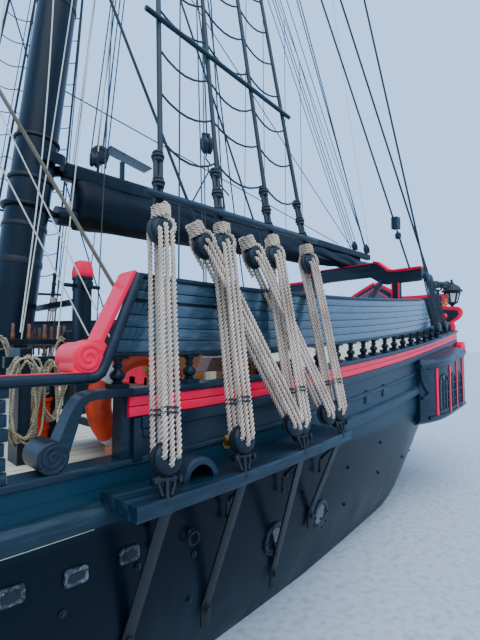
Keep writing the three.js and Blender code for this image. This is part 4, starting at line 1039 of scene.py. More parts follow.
def smooth_path(points, steps=6):
    """A curve through points, by Catmull and Rom."""
    ends = [Vector(p) for p in (points[0], *points, points[-1])]
    result = []
    for a, b, c, d in zip(ends, ends[1:], ends[2:], ends[3:]):
        for t in spread(0, 1, steps)[:-1]:
            result.append(0.5 * (2 * b + (c - a) * t + (2 * a - 5 * b + 4 * c - d) * t * t
                                 + (3 * b - a - 3 * c + d) * t ** 3))
    return [tuple(p) for p in [*result, ends[-1]]]


CONSOLE_AT, VOLUTE_AT = (-2.922, SILL_Z + 0.096), (-3.12, 2.44)
face = side(-3.0)
arm = smooth_path([(-2.962, 1.885), (-2.975, 1.93), (-3.012, 2.03), (-3.046, 2.12), (-3.085, 2.185),
                   (-3.15, 2.214), (-3.3, 2.219), (-3.42, 2.219)])
console = roll(CONSOLE_AT, face - 0.23, face + 0.012, 0.092)
spiral(console, CONSOLE_AT, face + 0.012, 0.084, 0.012, 2.1, 0.022, 0.007, start=-0.6, way=-1)
console_arm = ribbon(arm, [0.095 - 0.043 * min(k / 26, 1) for k in range(len(arm))],
                     face - 0.12, face + 0.016)
place_pair("console_scroll", console, BLACK_ACROSS, slot="hull_paint", smooth=40)
place_pair("console_arm", console_arm, BLACK, bevel=0.006)

volute = roll(VOLUTE_AT, side(-3.1) - 0.27, side(-3.1) + 0.012, 0.097)
spiral(volute, VOLUTE_AT, side(-3.1) + 0.012, 0.082, 0.014, 1.75, 0.028, 0.008, start=2.6, way=-1)
red_foot = [(-3.02, 2.352), (-3.03, 2.43), (-3.06, 2.52), (-3.2, 2.56), (-3.25, 2.5), (-3.2, 2.352)]
volute.slab(rounded(red_foot, 0.03), "Y", side(-3.1) - 0.2, side(-3.1) + 0.004)
slope = ribbon([(-3.17, 2.42), (-3.19, 2.5), (-3.425, 2.985), (-3.45, 3.0)], 0.035,
               side(-3.2) - 0.18, side(-3.2))
place_pair("red_volute", volute, RED, slot="red_trim", smooth=40)
place_pair("red_slope", slope, RED, slot="red_trim", bevel=0.006)
moulding = [(-3.10, side(-3.1) + 0.008, 2.322), (-3.16, side(-3.2) + 0.01, 2.323),
            (-3.20, side(-3.2) + 0.014, 2.35), (-3.225, side(-3.2) + 0.014, 2.40),
            (-3.345, side(-3.3) + 0.014, 2.69), (-3.47, side(-3.5) + 0.014, 2.985)]
place_pair("slope_moulding", Shape().tube(moulding, 0.034, 14), BLACK)
print("entry placed")

# %% [markdown]
# ## Channels, deadeyes and lanyards
# These are what the photograph is about. Each shroud ends in a deadeye; a second deadeye stands on the
# channel; a lanyard runs six times between them, three parts outboard and three inboard. The parts are real
# three-strand ropes. At the top the lanyard's end is wound round the shroud in a thick beige collar, and
# dark thread binds the parts together low down.

# %% Where the gangs stand
MASTS = {
    "main": {"foot": -3.639, "rake": 0.1068, "trees": 18.9, "head": 20.9, "truck": 30.6,
             "r0": 0.275, "r1": 0.205, "rt": 0.13},
    "fore": {"foot": 5.3, "rake": 0.085, "trees": 17.6, "head": 19.5, "truck": 28.6, "r0": 0.26, "r1": 0.2,
             "rt": 0.125},
}
GANGS = {
    "main": {"x0": -3.22, "x1": -5.76, "xs": [-3.46, -4.15, -4.91, -5.58]},
    "fore": {"x0": 4.75, "x1": 2.35, "xs": [4.5, 3.85, 3.2, 2.6]},
}
RUNNERS = {
    # fore-and-aft places of the upper and lower block of each slanting tackle, height of the upper block
    "main": [(-3.95, -4.80, 3.28), (-4.63, -5.36, 3.29)], "fore": [(4.05, 3.5, 3.30), (3.4, 2.9, 3.32)],
}
PROUD, CHANNEL_Z, LOWER_Z, UPPER_Z = 0.415, 1.55, 1.85, 3.30


def mast_at(name, z):
    """The lower mast's axis at a height."""
    mast = MASTS[name]
    return at(mast["foot"] - mast["rake"] * (z - DECK_Z), 0, z)


def mast_radius(name, z):
    """The lower mast's radius at a height."""
    mast = MASTS[name]
    return mast["r0"] + (mast["r1"] - mast["r0"]) * (z - 1.6) / (mast["trees"] - 1.6)


def hounds_of(name):
    """Where the shrouds meet on the mast's axis."""
    return mast_at(name, MASTS[name]["trees"] - 0.2)


def gang(name, x, top_x=None, top_z=UPPER_Z):
    """Axes of a pair of deadeyes: lower centre, upper centre, and directions up, outboard and forward."""
    low = at(x, side(x) + PROUD - 0.06, LOWER_Z + rise(x))
    if top_x is None:
        up = (hounds_of(name) - low).normalized()
        high = low + up * ((UPPER_Z - LOWER_Z) / up.z)
    else:
        start = at(top_x, side(top_x) + PROUD - 0.1, LOWER_Z)
        above = (hounds_of(name) - start).normalized()
        high = start + above * ((top_z - LOWER_Z) / above.z)
        up = (high - low).normalized()
    out = up.cross(at(1)).normalized()
    return low, high, up, out, out.cross(up).normalized()


print("pairs of deadeyes on each side", sum(len(g["xs"]) + len(RUNNERS[name]) for name, g in GANGS.items()))

# %% Channels and their iron
def holed_disc(hole_us):
    """A deadeye along Z with a groove round its rim and three holes; its X points up the shroud."""
    disc = Shape().turned((0, 0, -0.05), (0, 0, 1), [
        (0, 0.066), (0.006, 0.084), (0.018, 0.097), (0.032, 0.1), (0.038, 0.09), (0.062, 0.09), (0.068, 0.1),
        (0.082, 0.097), (0.094, 0.084), (0.1, 0.066)], 22)
    thing = place("disc", disc, BLACK)
    for u, v in hole_us:
        cut_away(thing, Shape().turned((u, v, -0.08), (0, 0, 1), [(0, 0.018), (0.16, 0.018)], 10))
    result = Shape().add([v.co for v in thing.data.vertices],
                         [tuple(p.vertices) for p in thing.data.polygons])
    bpy.data.objects.remove(thing)
    return result


LOWER_HOLES = [(0.008, -0.048), (-0.036, 0.0), (0.008, 0.048)]
UPPER_HOLES = [(-0.008, -0.048), (0.036, 0.0), (-0.008, 0.048)]
LOWER_EYE, UPPER_EYE = holed_disc(LOWER_HOLES), holed_disc(UPPER_HOLES)
BOLT = Shape().turned((0, 0, 0), (0, 0, 1), [
    (0, 0.03), (0.006, 0.03), (0.007, 0.018), (0.02, 0.016), (0.023, 0.01)], 8)


def bolts(name, spots, material=IRON):
    """Bolt heads at (point, way, size) spots on both sides."""
    stand_pair(name, [(p, w, s, (1, 0, 0.01)) for p, w, s in spots], BOLT, material)


STRAP_FEET = {"main": [(-3.46, 0.67), (-4.18, 0.56), (-5.09, 0.47), (-5.63, 0.86)],
              "fore": [(4.5, 0.75), (3.85, 0.7), (3.2, 0.65), (2.6, 0.65)]}
for name, g in GANGS.items():
    section = rounded(board(0.0012, PROUD, CHANNEL_Z + 0.001, CHANNEL_Z + 0.09), 0.012)
    place_pair(f"{name}_channel_board", strip(Shape(), g["x0"], g["x1"], section, 0.2), CHANNEL_BLACK,
               slot="hull_paint", replaces=[f"{name}_channel"])
    iron, heads = Shape(), []
    for x, (foot_x, foot_z) in zip(g["xs"], STRAP_FEET[name]):
        low, high, up, out, ahead = gang(name, x)
        foot = at(foot_x, hull_half(foot_x, foot_z) + 0.02, foot_z)
        top = at(x, low.y + 0.01, CHANNEL_Z + 0.02 + rise(x))
        iron.sweep([top, top.lerp(foot, 0.93), foot, foot - at(0, 0.01, 0.16)],
                   rounded(rect(0.045, 0.009), 0.003, 1), up=(0, 1, 0.25))
        pin = low - up * 0.115
        iron.tube([pin - ahead * 0.105, pin + ahead * 0.105], 0.016, 8)
        for s in (-1, 1):
            iron.tube([pin + ahead * s * 0.075 - up * 0.004, pin + ahead * s * 0.098 - up * 0.004], 0.03, 6)
            iron.tube([pin + ahead * s * 0.055 + up * 0.02, pin + ahead * s * 0.055 - up * 0.03,
                       pin + ahead * s * 0.03 - up * 0.09], 0.013, 6)
        iron.tube([pin + up * 0.01, pin - up * 0.14], 0.017, 6)
        iron.tube([low + up * (0.094 * math.cos(a)) + ahead * (0.094 * math.sin(a))
                   for a in spread(0.9, 2 * math.pi - 0.9, 18)], 0.011, 6)
        knee = at(x - 0.16, side(x) + 0.012, CHANNEL_Z - 0.02 + rise(x))
        iron.tube([knee + at(0, *step) for step in ((0.22, 0), (0.2, -0.05), (0.02, -0.22), (0, -0.36))],
                  0.014, 6)
        heads += [((foot.x, foot.y + 0.008, foot.z - 0.04), (0, 1, 0), 1.3),
                  ((knee.x, side(x) + 0.02, knee.z - 0.34), (0, 1, 0), 1.0),
                  ((knee.x, side(x) + 0.05, knee.z - 0.2), (0, 1, -0.3), 1.2)]
    place_pair(f"{name}_channel_iron", iron, IRON, slot="iron", smooth=45)
    bolts(f"{name}_channel_bolts", heads)

HOOD_X = -3.80
arch, inside = ([(a * math.cos(t), b * math.sin(t)) for t in spread(0, math.pi, 18)]
                for a, b in ((0.14, 0.135), (0.098, 0.1)))
hood = Shape().loft([[(HOOD_X + u * 1.04, side(HOOD_X) + y, CHANNEL_Z + 0.089 + v + lift * (v > 0.01))
                      for u, v in arch + inside[::-1]]
                     for y, lift in ((0.30, 0.0), (0.29, 0.012), (0.02, 0.012))])
place_pair("channel_hood", hood, CHANNEL_BLACK, smooth=50)
outlet = at(-4.34, side(-4.34), 1.76)
place_pair("bronze_outlet", Shape().turned(outlet - at(0, 0.02), (0, 1, 0), [
    (0, 0.055), (0.035, 0.055), (0.036, 0.03), (0.11, 0.027), (0.12, 0.033), (0.15, 0.033),
    (0.155, 0.02)], 14), BRONZE)
print("channels placed")

# %% Lanyards
def lanyard_paths(name, x, shake, top_x=None, top_z=UPPER_Z, parts=6):
    """The parts of one lanyard, and the turns at its top."""
    low, high, up, out, ahead = gang(name, x, top_x, top_z)
    paths = []
    for k in range(parts):
        (u0, v0), (u1, v1), s = LOWER_HOLES[k % 3], UPPER_HOLES[k % 3], (1 if k < 3 else -1)
        a = low + up * u0 + ahead * v0
        b = high + up * u1 + ahead * v1
        bulge = out * s * (0.062 + 0.004 * shake.random())
        drift = ahead * (0.006 * (shake.random() - 0.5)) + out * (0.006 * (shake.random() - 0.5))
        paths.append([a + out * s * 0.02, a + bulge * 0.85, a + up * 0.02 + bulge,
                      a + up * 0.1 + bulge * 1.03, (a + b) / 2 + bulge + drift, b - up * 0.1 + bulge * 1.03,
                      b - up * 0.02 + bulge, b + bulge * 0.85, b + out * s * 0.02])
    wind = []
    turns = 3.4 + shake.random()
    for t in spread(0, 1, int(turns * 12)):
        a = t * turns * 2 * math.pi + shake.random() * 0.12
        r = 0.052 + 0.004 * shake.random()
        wind.append(high + up * (0.105 + 0.09 * t) + (out * math.cos(a) + ahead * math.sin(a)) * r)
    over = [high - ahead * 0.05 + out * 0.07 - up * 0.02, high - ahead * 0.078 + out * 0.05 + up * 0.04,
            high - ahead * 0.06 + out * 0.035 + up * 0.095, wind[2]]
    across_top = [wind[-3], high + ahead * 0.03 - out * 0.06 + up * 0.1,
                  high + ahead * 0.05 - out * 0.075 + up * 0.02,
                  high + ahead * 0.045 - out * 0.07 - up * 0.15]
    return paths, [wind, smooth_path(over, 4), smooth_path(across_top, 4)]


def bands(name, x, shares):
    """Dark thread wound round the parts of a lanyard."""
    low, high, up, out, ahead = gang(name, x)
    result = []
    for share in shares:
        for s in (-1, 1):
            c = low.lerp(high, share) + out * s * 0.063
            for lift in (0, 0.008):
                result.append([c + up * lift + ahead * 0.064 * math.cos(a) + out * 0.02 * math.sin(a)
                               for a in spread(0, 2 * math.pi, 14)])
    return result


LANYARD_TWIST = 0.094
shake = np.random.default_rng(7)
for name, g in GANGS.items():
    beige, threads = [], []
    for x in g["xs"]:
        paths, turns = lanyard_paths(name, x, shake)
        beige += paths + turns
        threads += bands(name, x, (0.17, 0.19) if name == "main" else (0.18,))
    for top_x, x, top_z in RUNNERS[name]:
        paths, turns = lanyard_paths(name, x, shake, top_x, top_z, 5)
        beige += paths + turns
    pairs = [gang(name, x) for x in g["xs"]] + [gang(name, x, top_x, top_z)
                                                for top_x, x, top_z in RUNNERS[name]]
    for end, sign in ENDS:
        turn = starboard if sign < 0 else Vector
        steps = 8 if (name, end) == ("main", "port") else 4.5
        lay_ropes(f"{name}_lanyards_{end}", [[turn(p) for p in path] for path in beige], 0.0182, LANYARD,
                  lay=LANYARD_TWIST, step=LANYARD_TWIST / steps)
        run_bars(f"{name}_lanyard_bands_{end}", [[turn(p) for p in path] for path in threads], 0.0035,
                 TARRED, sides=4)
        for level, eye, k in (("lower", LOWER_EYE, 0), ("upper", UPPER_EYE, 1)):
            spots = [(turn(pair[k]), turn(pair[3]), 1.0, turn(pair[2])) for pair in pairs]
            stand_rows(f"{name}_{level}_deadeyes_{end}", spots, eye, BLACK_UP)
print("lanyard parts", len(beige))

# %% [markdown]
# ## Shrouds, ratlines and the sheer pole
# Every shroud is served rope. Above its deadeye it is doubled for a short way and held by thick seizings,
# which read as dark knots in the photograph. Between the shrouds hang slack ratlines.

# %% Shrouds
COLLAR = Shape()
for dz, r in ((-0.03, 0.042), (0.0, 0.05), (0.03, 0.042)):
    COLLAR.turned((0, 0, dz - 0.014), (0, 0, 1),
                  [(0, r - 0.01), (0.007, r), (0.021, r), (0.028, r - 0.01)], 9)


def shroud_head(name):
    """Where a shroud ends at the mast's side."""
    return hounds_of(name) + at(0, MASTS[name]["r1"] + 0.02)


def on_shroud(name, x, z):
    """The point of a shroud at a height, on its straight run."""
    high, head = gang(name, x)[1], shroud_head(name)
    return high.lerp(head, (z - high.z) / (head.z - high.z))


RATLINES = {"main": (4.05, 17.6), "fore": (4.3, 16.4)}
RATLINE_GAP, BATTEN_Z = 0.40, 5.1
for name, g in GANGS.items():
    ropes, doubles, collars, rats = [], [], [], []
    fore_x, aft_x = g["xs"][0], g["xs"][-1]
    for x in g["xs"]:
        low, high, up, out, ahead = gang(name, x)
        head = shroud_head(name)
        ropes.append([high + up * 0.08, high + up * 0.3, *[high.lerp(head, t) for t in spread(0.05, 1, 12)]])
        loop = [high + up * (0.093 * math.cos(a)) + ahead * (0.093 * math.sin(a))
                for a in spread(0.5, 5.8, 18)]
        doubles.append([high + up * 0.62 + ahead * 0.035, high + up * 0.2 + ahead * 0.04, *loop,
                        high + up * 0.2 - ahead * 0.004])
        for lift in (0.13, 0.30, 0.47, 0.66) if x != fore_x else (0.16, 0.38, 0.6):
            collars.append((high + up * lift + ahead * 0.016, up, 1.0, out))
    z0, z1 = RATLINES[name]
    for z in spread(z0, z1, int((z1 - z0) / RATLINE_GAP)):
        line = []
        for xa, xb in zip(g["xs"], g["xs"][1:]):
            a, b = on_shroud(name, xa, z), on_shroud(name, xb, z)
            sag = min(0.11, 0.16 * (a - b).length) * (0.8 + 0.4 * shake.random())
            line += [a.lerp(b, t) - at(z=sag * 4 * t * (1 - t)) for t in spread(0, 1, 6)[:-1]]
        rats.append([*line, on_shroud(name, aft_x, z)])
    hounds = hounds_of(name)
    pole = []
    for x in (fore_x + 0.18, aft_x - 0.18):
        low = at(x, side(x) + PROUD - 0.06, LOWER_Z + rise(x))
        way = (hounds - low).normalized()
        pole.append(low + way * (1.7 / way.z) + at(0, 0.05))
    batten = [on_shroud(name, fore_x, BATTEN_Z) + at(0.14, 0.03, 0.06),
              on_shroud(name, aft_x, BATTEN_Z) + at(-0.1, 0.03, -0.05)]
    r = MASTS[name]["r1"]
    pad = Shape().box((hounds.x - 0.17, r - 0.02, hounds.z - 0.06),
                      (hounds.x + 0.17, r + 0.055, hounds.z + 0.06))
    pad.tube(pole, 0.026, 10).tube(batten, 0.022, 8)
    place_pair(f"{name}_sheer_pole", pad, BLACK, replaces=[f"{name}_shrouds"])
    for end, sign in ENDS:
        turn = starboard if sign < 0 else Vector
        for kind, paths, r, sides, slot in (("shroud_ropes", ropes, 0.021, 8, "tarred_rope"),
                                            ("shroud_doubles", doubles, 0.019, 8, None),
                                            ("ratlines", rats, 0.0095, 5, None)):
            run_bars(f"{name}_{kind}_{end}", [[turn(p) for p in path] for path in paths], r, TARRED,
                     sides=sides)
        stand_rows(f"{name}_seizings_{end}", [(turn(c), turn(up), size, turn(out))
                                              for c, up, size, out in collars],
                   COLLAR, TARRED)
print("ratlines", len(rats))

# %% [markdown]
# ## Masts and spars
# The masts are smooth and tapered, with iron hoops. The gaff lies lowered on the boom under its cover: a
# black canvas bundle, folded lengthways, and lumpy where the sail is bunched at its after end.

# %% Masts
for name, mast in MASTS.items():
    foot, trees, head = mast_at(name, 1.72), mast_at(name, mast["trees"]), mast_at(name, mast["head"])
    way = (trees - foot).normalized()
    long = (trees - foot).length
    r0, r1 = mast["r0"], mast["r1"]
    pole = Shape().turned(foot, way, [(long * t, r0 + (r1 - r0) * t) for t in spread(0, 1, 12)], 32)
    pole.turned(foot, way, [(0, r0 + 0.05), (0.06, r0 + 0.05), (0.14, r0 + 0.01)], 32)
    pole.turned(trees, way, [(0, r1 - 0.03), ((head - trees).length, r1 - 0.05)], 20)
    for s in (-1, 1):
        pole.box((trees.x - 0.7, s * 0.26 - 0.07, trees.z), (trees.x + 0.9, s * 0.26 + 0.07, trees.z + 0.13))
    for dx in (-0.3, 0.58):
        pole.box((trees.x + dx, -0.9, trees.z + 0.06), (trees.x + dx + 0.11, 0.9, trees.z + 0.16))
    pole.box((head.x - 0.26, -0.19, head.z - 0.15), (head.x + 0.64, 0.19, head.z))
    place(f"{name}_mast_pole", pole, SPAR, slot="spar_paint", replaces=[f"{name}mast"], bevel=0.006)
    hoops = Shape()
    for z, thick, deep in [(3.55, 0.01, 0.08), (4.03, 0.012, 0.05), (4.66, 0.03, 0.05), (5.22, 0.03, 0.04),
                           *((z, 0.01, 0.06) for z in np.arange(7.2, mast["trees"] - 1, 2.3))]:
        r = mast_radius(name, z)
        hoops.turned(mast_at(name, z), way, [(0, r - 0.02), (0, r + thick * 0.7), (deep * 0.2, r + thick),
                                             (deep * 0.8, r + thick), (deep, r + thick * 0.7),
                                             (deep, r - 0.02)], 28)
    place(f"{name}_mast_hoops", hoops, IRON)
    heel, truck = mast_at(name, mast["trees"] - 0.12) + at(0.4), mast_at(name, mast["truck"]) + at(0.4)
    topmast = Shape().tube([heel, truck], [mast["rt"], mast["rt"] * 0.45], 16)
    topmast.turned(truck - at(z=0.03), (0, 0, 1), [(0, 0.07), (0.02, 0.1), (0.06, 0.1), (0.09, 0.05)], 14)
    fid_x = mast_at(name, mast["trees"] + 0.18).x
    topmast.box((fid_x + 0.35, -0.32, mast["trees"] + 0.1303), (fid_x + 0.45, 0.32, mast["trees"] + 0.23))
    place(f"{name}_topmast_pole", topmast, SPAR, replaces=[f"{name}_topmast"])
print("masts placed")

# %% Booms, gaffs and sail covers
SETS = {
    "main": {"neck": 4.31, "boom": at(-12.69, 0, 4.65), "gaff": at(-12.5, 0, 4.88),
             "fat": 0.235, "sail": 0.62, "steps": 220, "around": 40, "seed": 3},
    "fore": {"neck": 4.5, "boom": at(-1.75, 0, 4.65), "gaff": at(-1.6, 0, 4.9), "fat": 0.215, "sail": 0.75,
             "steps": 110, "around": 28, "seed": 4},
}


def spars_of(name):
    """Inner ends of a boom and its gaff."""
    low, high = SETS[name]["neck"], SETS[name]["neck"] + 0.64
    return (mast_at(name, low) - at(mast_radius(name, low) + 0.105),
            mast_at(name, high) - at(mast_radius(name, high) + 0.13))


def bundle(name):
    """A sail gathered between gaff and boom, and round the boom, under its cover."""
    sail = SETS[name]
    neck, jaw = spars_of(name)
    rings = []
    phase = np.random.default_rng(sail["seed"]).uniform(0, 6.28, 24)
    for t in spread(0, 1, sail["steps"]):
        u = 0.028 + t * 0.9
        low, high = neck.lerp(sail["boom"], u), jaw.lerp(sail["gaff"], u)
        lumpy = min(max((t - sail["sail"]) / 0.12, 0), 1)
        closed = min(t / 0.015, 1) ** 0.5 * min((1 - t) / 0.05, 1) ** 0.5
        half = sail["fat"] * (1 - 0.42 * t) * (1 - 0.25 * lumpy)
        top, bottom = high.z - 0.02 - 0.05 * lumpy, low.z - 0.165 + 0.03 * lumpy
        ring = []
        for j in range(sail["around"]):
            a = 2 * math.pi * j / sail["around"]
            c, s = math.cos(a), math.sin(a)
            width = half * (0.62 + 0.38 * (1 - max(s, 0) ** 1.4)) if s > 0 else half
            fold = 0.0
            for k in range(5):
                fold += (0.009 + 0.010 * lumpy) * math.sin((2 + k) * a + (1.2 + 1.1 * k) * t
                                                           * 6.28 + phase[k])
            crease = 0.035 * math.exp(-((a - 3.5 - 0.35 * math.sin(5 * t + phase[9])) / 0.16) ** 2)
            crease += 0.03 * math.exp(-((a - 5.7 - 0.3 * math.sin(6 * t + phase[11])) / 0.16) ** 2)
            gather = 0.035 * lumpy * math.sin(46 * t + 1.6 * math.sin(a * 2) + phase[10])
            r = 1 + (fold + crease + gather) / 0.21 * 0.8
            ring.append(at(low.x, width * c * r * (0.35 + 0.65 * closed),
                           (top + bottom) / 2 + (top - bottom) / 2 * s * (1 + 0.5 * (r - 1))))
        rings.append(ring)
    return Shape().loft(rings)


for name, rig in SETS.items():
    neck, jaw = spars_of(name)
    body = f"{name}_boom"
    boom = Shape().tube([neck, neck.lerp(rig["boom"], 0.5), rig["boom"]], [0.13, 0.128, 0.105], 20)
    boom.tube([neck + at(0.12), neck - at(0.1)], 0.04, 10)
    boom.turned(rig["boom"] + at(0.04), (-1, 0, 0.04),
                [(0, 0.09), (0.01, 0.118), (0.10, 0.118), (0.11, 0.09)], 18)
    way = (mast_at(name, 6) - mast_at(name, 5)).normalized()
    arm = way.orthogonal().normalized()
    r = mast_radius(name, rig["neck"]) + 0.0324
    boom.tube([mast_at(name, rig["neck"]) + Matrix.Rotation(a, 3, way) @ arm * r for a in angles(28)],
              0.03, 8, closed=True)
    place(f"{name}_boom_spar", boom, SPAR, body=body, replaces=[f"{name}_boom"], slot="spar_paint")
    rings = []
    for t in spread(0, 1, 14):
        c, k = jaw + (rig["gaff"] - jaw) * t, 1 - 0.36 * t
        rings.append([(c.x, c.y + y * k, c.z + z * k) for y, z in rounded(rect(0.1, 0.115), 0.045, 3)])
    gaff = Shape().loft(rings)
    jaw_path = smooth_path([(0.0, 0.085), (0.06, 0.14), (0.10, 0.24), (0.16, 0.305), (0.3, 0.325),
                            (0.46, 0.315)], 4)
    for s in (-1, 1):
        gaff.sweep([(jaw.x + dx, s * y, jaw.z + 0.02) for dx, y in jaw_path], rect(0.03, 0.07))
    place(f"{name}_gaff_spar", gaff, SPAR, body=body, replaces=[f"{name}_gaff"], bevel=0.006)
    cover = place(f"{name}_sail_cover", bundle(name), COVER, body=body, replaces=[f"{name}_sail_furled"],
                  slot="sail_cover", smooth=60)
print("spars placed")

# %% [markdown]
# ## Boom gallows
# The boom's end is carried by a beam with a raised middle. Its top is edged in red, and a curved brace runs
# down from it on each side.

# %% Gallows
GALLOWS_X, GALLOWS_TOP, GALLOWS_LEG_Y = -11.4, 4.488, 1.33
port_top = [(0.0, 0.0), (0.80, 0.0), (0.93, -0.035), (1.18, -0.24), (1.30, -0.262), (1.93, -0.262)]
port_low = [(1.93, -0.46), (1.86, -0.53), (1.06, -0.54), (0.95, -0.5), (0.72, -0.345),
            (0.6, -0.33), (0.0, -0.33)]
port_top, port_low = ([(y, GALLOWS_TOP + z) for y, z in row] for row in (port_top, port_low))
beam_half = port_top[1:] + port_low[:-1]
beam_line = beam_half + [(-y, z) for y, z in port_low[::-1][1:] + port_top[::-1][:-1]]
gallows = Shape().slab(beam_line, "X", GALLOWS_X - 0.08, GALLOWS_X + 0.08)
edge, brace = Shape(), Shape()
for s in (-1, 1):
    leg = s * GALLOWS_LEG_Y
    gallows.box((GALLOWS_X - 0.075, leg - 0.08, 2.5), (GALLOWS_X + 0.075, leg + 0.08, GALLOWS_TOP - 0.4))
    edge.sweep([(GALLOWS_X, s * y, z + 0.014) for y, z in port_top[1:]], rect(0.1, 0.016))
    for dx in (-0.084, 0.084):
        line = [(GALLOWS_X + dx, s * y, z - 0.022) for y, z in port_top]
        edge.sweep(line, rect(0.006, 0.026), up=(1, 0, 0))
    for dy in (-0.078, 0.078):
        middle = s * (GALLOWS_LEG_Y + dy)
        edge.box((GALLOWS_X + 0.066, middle - 0.012, 3.0), (GALLOWS_X + 0.09, middle + 0.012, 3.96))
    path = smooth_path([(GALLOWS_X + dx, s * y, z) for dx, y, z in (
        (0.1, 1.0, 4.0), (0.3, 1.02, 3.82), (0.62, 1.05, 3.62), (0.95, 1.08, 3.25), (1.1, 1.1, 2.62))], 5)
    brace.sweep(path, rounded(rect(0.04, 0.05), 0.015, 2), up=(0.6, 0, 0.8))
place("gallows_beam", gallows, BLACK_ACROSS, replaces=["boom_gallows"], bevel=0.012)
place("gallows_edge", edge, RED, slot="red_trim")
place("gallows_braces", brace, BLACK)
print("gallows placed")


# %% [markdown]
# ## Around the foot of the main mast
# A fife rail with pins stands round each mast, and beside the main one are two tall posts whose heads are
# red. Rope hangs in coils from the pins. The things that belong in the entry lie on the deck behind it: a ring
# buoy with its light and line, a bucket, a ribbed ramp, a chest and stowed boards.

# %% Fife rails, pins and posts
PIN = Shape().turned((0, 0, -0.2), (0, 0, 1), [
    (0, 0.008), (0.02, 0.013), (0.18, 0.014), (0.2, 0.022), (0.24, 0.024), (0.3, 0.016), (0.36, 0.02),
    (0.375, 0.012)], 8)
FIFES = {"main": (-3.639, 0.76, 1.1), "fore": (5.3, 0.70, 1.0)}
POST_X, POST_Y = -4.14, 1.2
pins = []
for name, (x, half, long) in FIFES.items():
    foot_z = DECK_Z + rise(x)
    z = foot_z + 0.9
    x0, x1 = x - long / 2 - 0.06, x + long / 2 + 0.06
    shape = Shape()
    for dx in (-long / 2, long / 2):
        for y in (-half, half):
            shape.turned((x + dx, y, foot_z - 0.02), (0, 0, 1), [
                (0, 0.075), (0.12, 0.075), (0.14, 0.055), (0.2, 0.05), (0.3, 0.062),
                (0.6, 0.045), (0.72, 0.06), (0.76, 0.075), (0.9, 0.075), (0.98, 0.075)], 10)
            shape.turned((x + dx, y, z + 0.02), (0, 0, 1),
                         [(0, 0.04), (0.03, 0.06), (0.07, 0.06), (0.1, 0.02)], 10)
    for s in (-1, 1):
        shape.box((x0, s * (half - 0.08), z - 0.06), (x1, s * (half + 0.06), z))
        pins += [((x + dx, s * half, z), (0, 0, 1), 1.0, (1, 0, 0))
                 for dx in spread(-long / 2 + 0.12, long / 2 - 0.12, 5)]
    shape.box((x0, -half, z - 0.06), (x - long / 2 + 0.08, half, z))
    pins += [((x - long / 2, y, z), (0, 0, 1), 1.0, (1, 0, 0)) for y in spread(-half + 0.15, half - 0.15, 6)]
    if name == "main":
        heads = Shape()
        for post_y in (-POST_Y, POST_Y):
            for half_post, z0, z1 in ((0.083, DECK_Z, 3.3), (0.092, 3.27, 3.305)):
                square = [(px + POST_X, post_y + py) for px, py in rect(half_post, half_post)]
                shape.slab(rounded(square, 0.02, 2), "Z", z0, z1)
            shape.box((-4.18, post_y - 0.19, 3.16), (-4.1, post_y + 0.19, 3.24))
            shape.tube([(-4.35, post_y, 3.2), (-3.93, post_y, 3.2)], 0.022, 10)
            shape.box((-4.185, math.copysign(0.69, post_y), z - 0.06), (-4.095, post_y, z))
            heads.loft([[(POST_X + px * r, post_y + py * r, 3.305 + t)
                         for px, py in rounded(rect(1, 1), 0.3, 2)]
                        for t, r in ((0, 0.09), (0.02, 0.097), (0.06, 0.095), (0.16, 0.077), (0.175, 0.07),
                                     (0.18, 0.058))])
        shape.box((-4.17, -1.15, 3.0), (-4.11, 1.15, 3.07))
        place("red_post_heads", heads, RED_UP, slot="red_trim", smooth=50)
    place(f"{name}_fife", shape, BLACK_UP, replaces=[f"{name}_fife_rail"], bevel=0.004)
stand_rows("belaying_pins", pins, PIN, VARNISH)
print("pins", len(pins))

# %% Rope coils
def hank(top, drop, width, loops, wobble):
    """A coil hung up by its bight: long narrow loops that start and end at one pin."""
    path = []
    for k in range(loops):
        w, d = width * (0.7 + 0.5 * wobble.random()), drop * (0.82 + 0.22 * wobble.random())
        off = at(wobble.uniform(-0.03, 0.03), wobble.uniform(-0.05, 0.05))
        for a in angles(14):
            path.append(top + off + at(w / 2 * math.sin(a), 0.03 * math.cos(3 * a + k),
                                       -d / 2 + d / 2 * math.cos(a) + 0.02 * math.sin(2 * a + k)))
    bend = [top + at(*step) for step in ((-0.05, 0.0, -0.12), (-0.03, 0.06, -0.06), (0.02, 0.06, -0.02),
                                         (0.05, 0.02, -0.1), (0.0, -0.05, -0.14), (-0.05, 0.0, -0.12))]
    return [[*path, top], bend]


def flat_coil(centre, r0, r1, turns, z_rise=0.0):
    """Rope laid round and round on a deck or in a bucket."""
    path = []
    for t in spread(0, 1, int(turns * 18)):
        a, r = t * turns * 2 * math.pi, r0 + (r1 - r0) * t
        path.append(centre + at(math.cos(a) * r, math.sin(a) * r, z_rise * t))
    return [path]


HANKS = [
    # x, y and z of the pin, then the coil's drop, width and loops
    (-2.98, 2.9, 2.44, 0.62, 0.19, 9), (-3.22, 2.75, 2.40, 0.5, 0.15, 5), (-4.07, 0.80, 2.62, 0.7, 0.22, 5),
    (-3.40, 0.82, 2.62, 0.75, 0.24, 5), (-3.20, 0.82, 2.60, 0.6, 0.2, 4), (-3.9, -0.82, 2.62, 0.7, 0.22, 5),
    (-3.4, -0.82, 2.62, 0.7, 0.22, 5), *((x, y, 2.8, 0.7, 0.22, 5) for y in (0.76, -0.76)
                                         for x in (5.0, 5.4)),
]
wobble = np.random.default_rng(21)
coils = []
for x, y, z, drop, width, loops in HANKS:
    coils += hank(at(x, y, z), drop, width, loops, wobble)
coils += flat_coil(at(-3.12, 2.62, 2.12), 0.05, 0.13, 5,
                   0.05) + flat_coil(at(-1.9, -2.6, 1.80), 0.08, 0.34, 9)
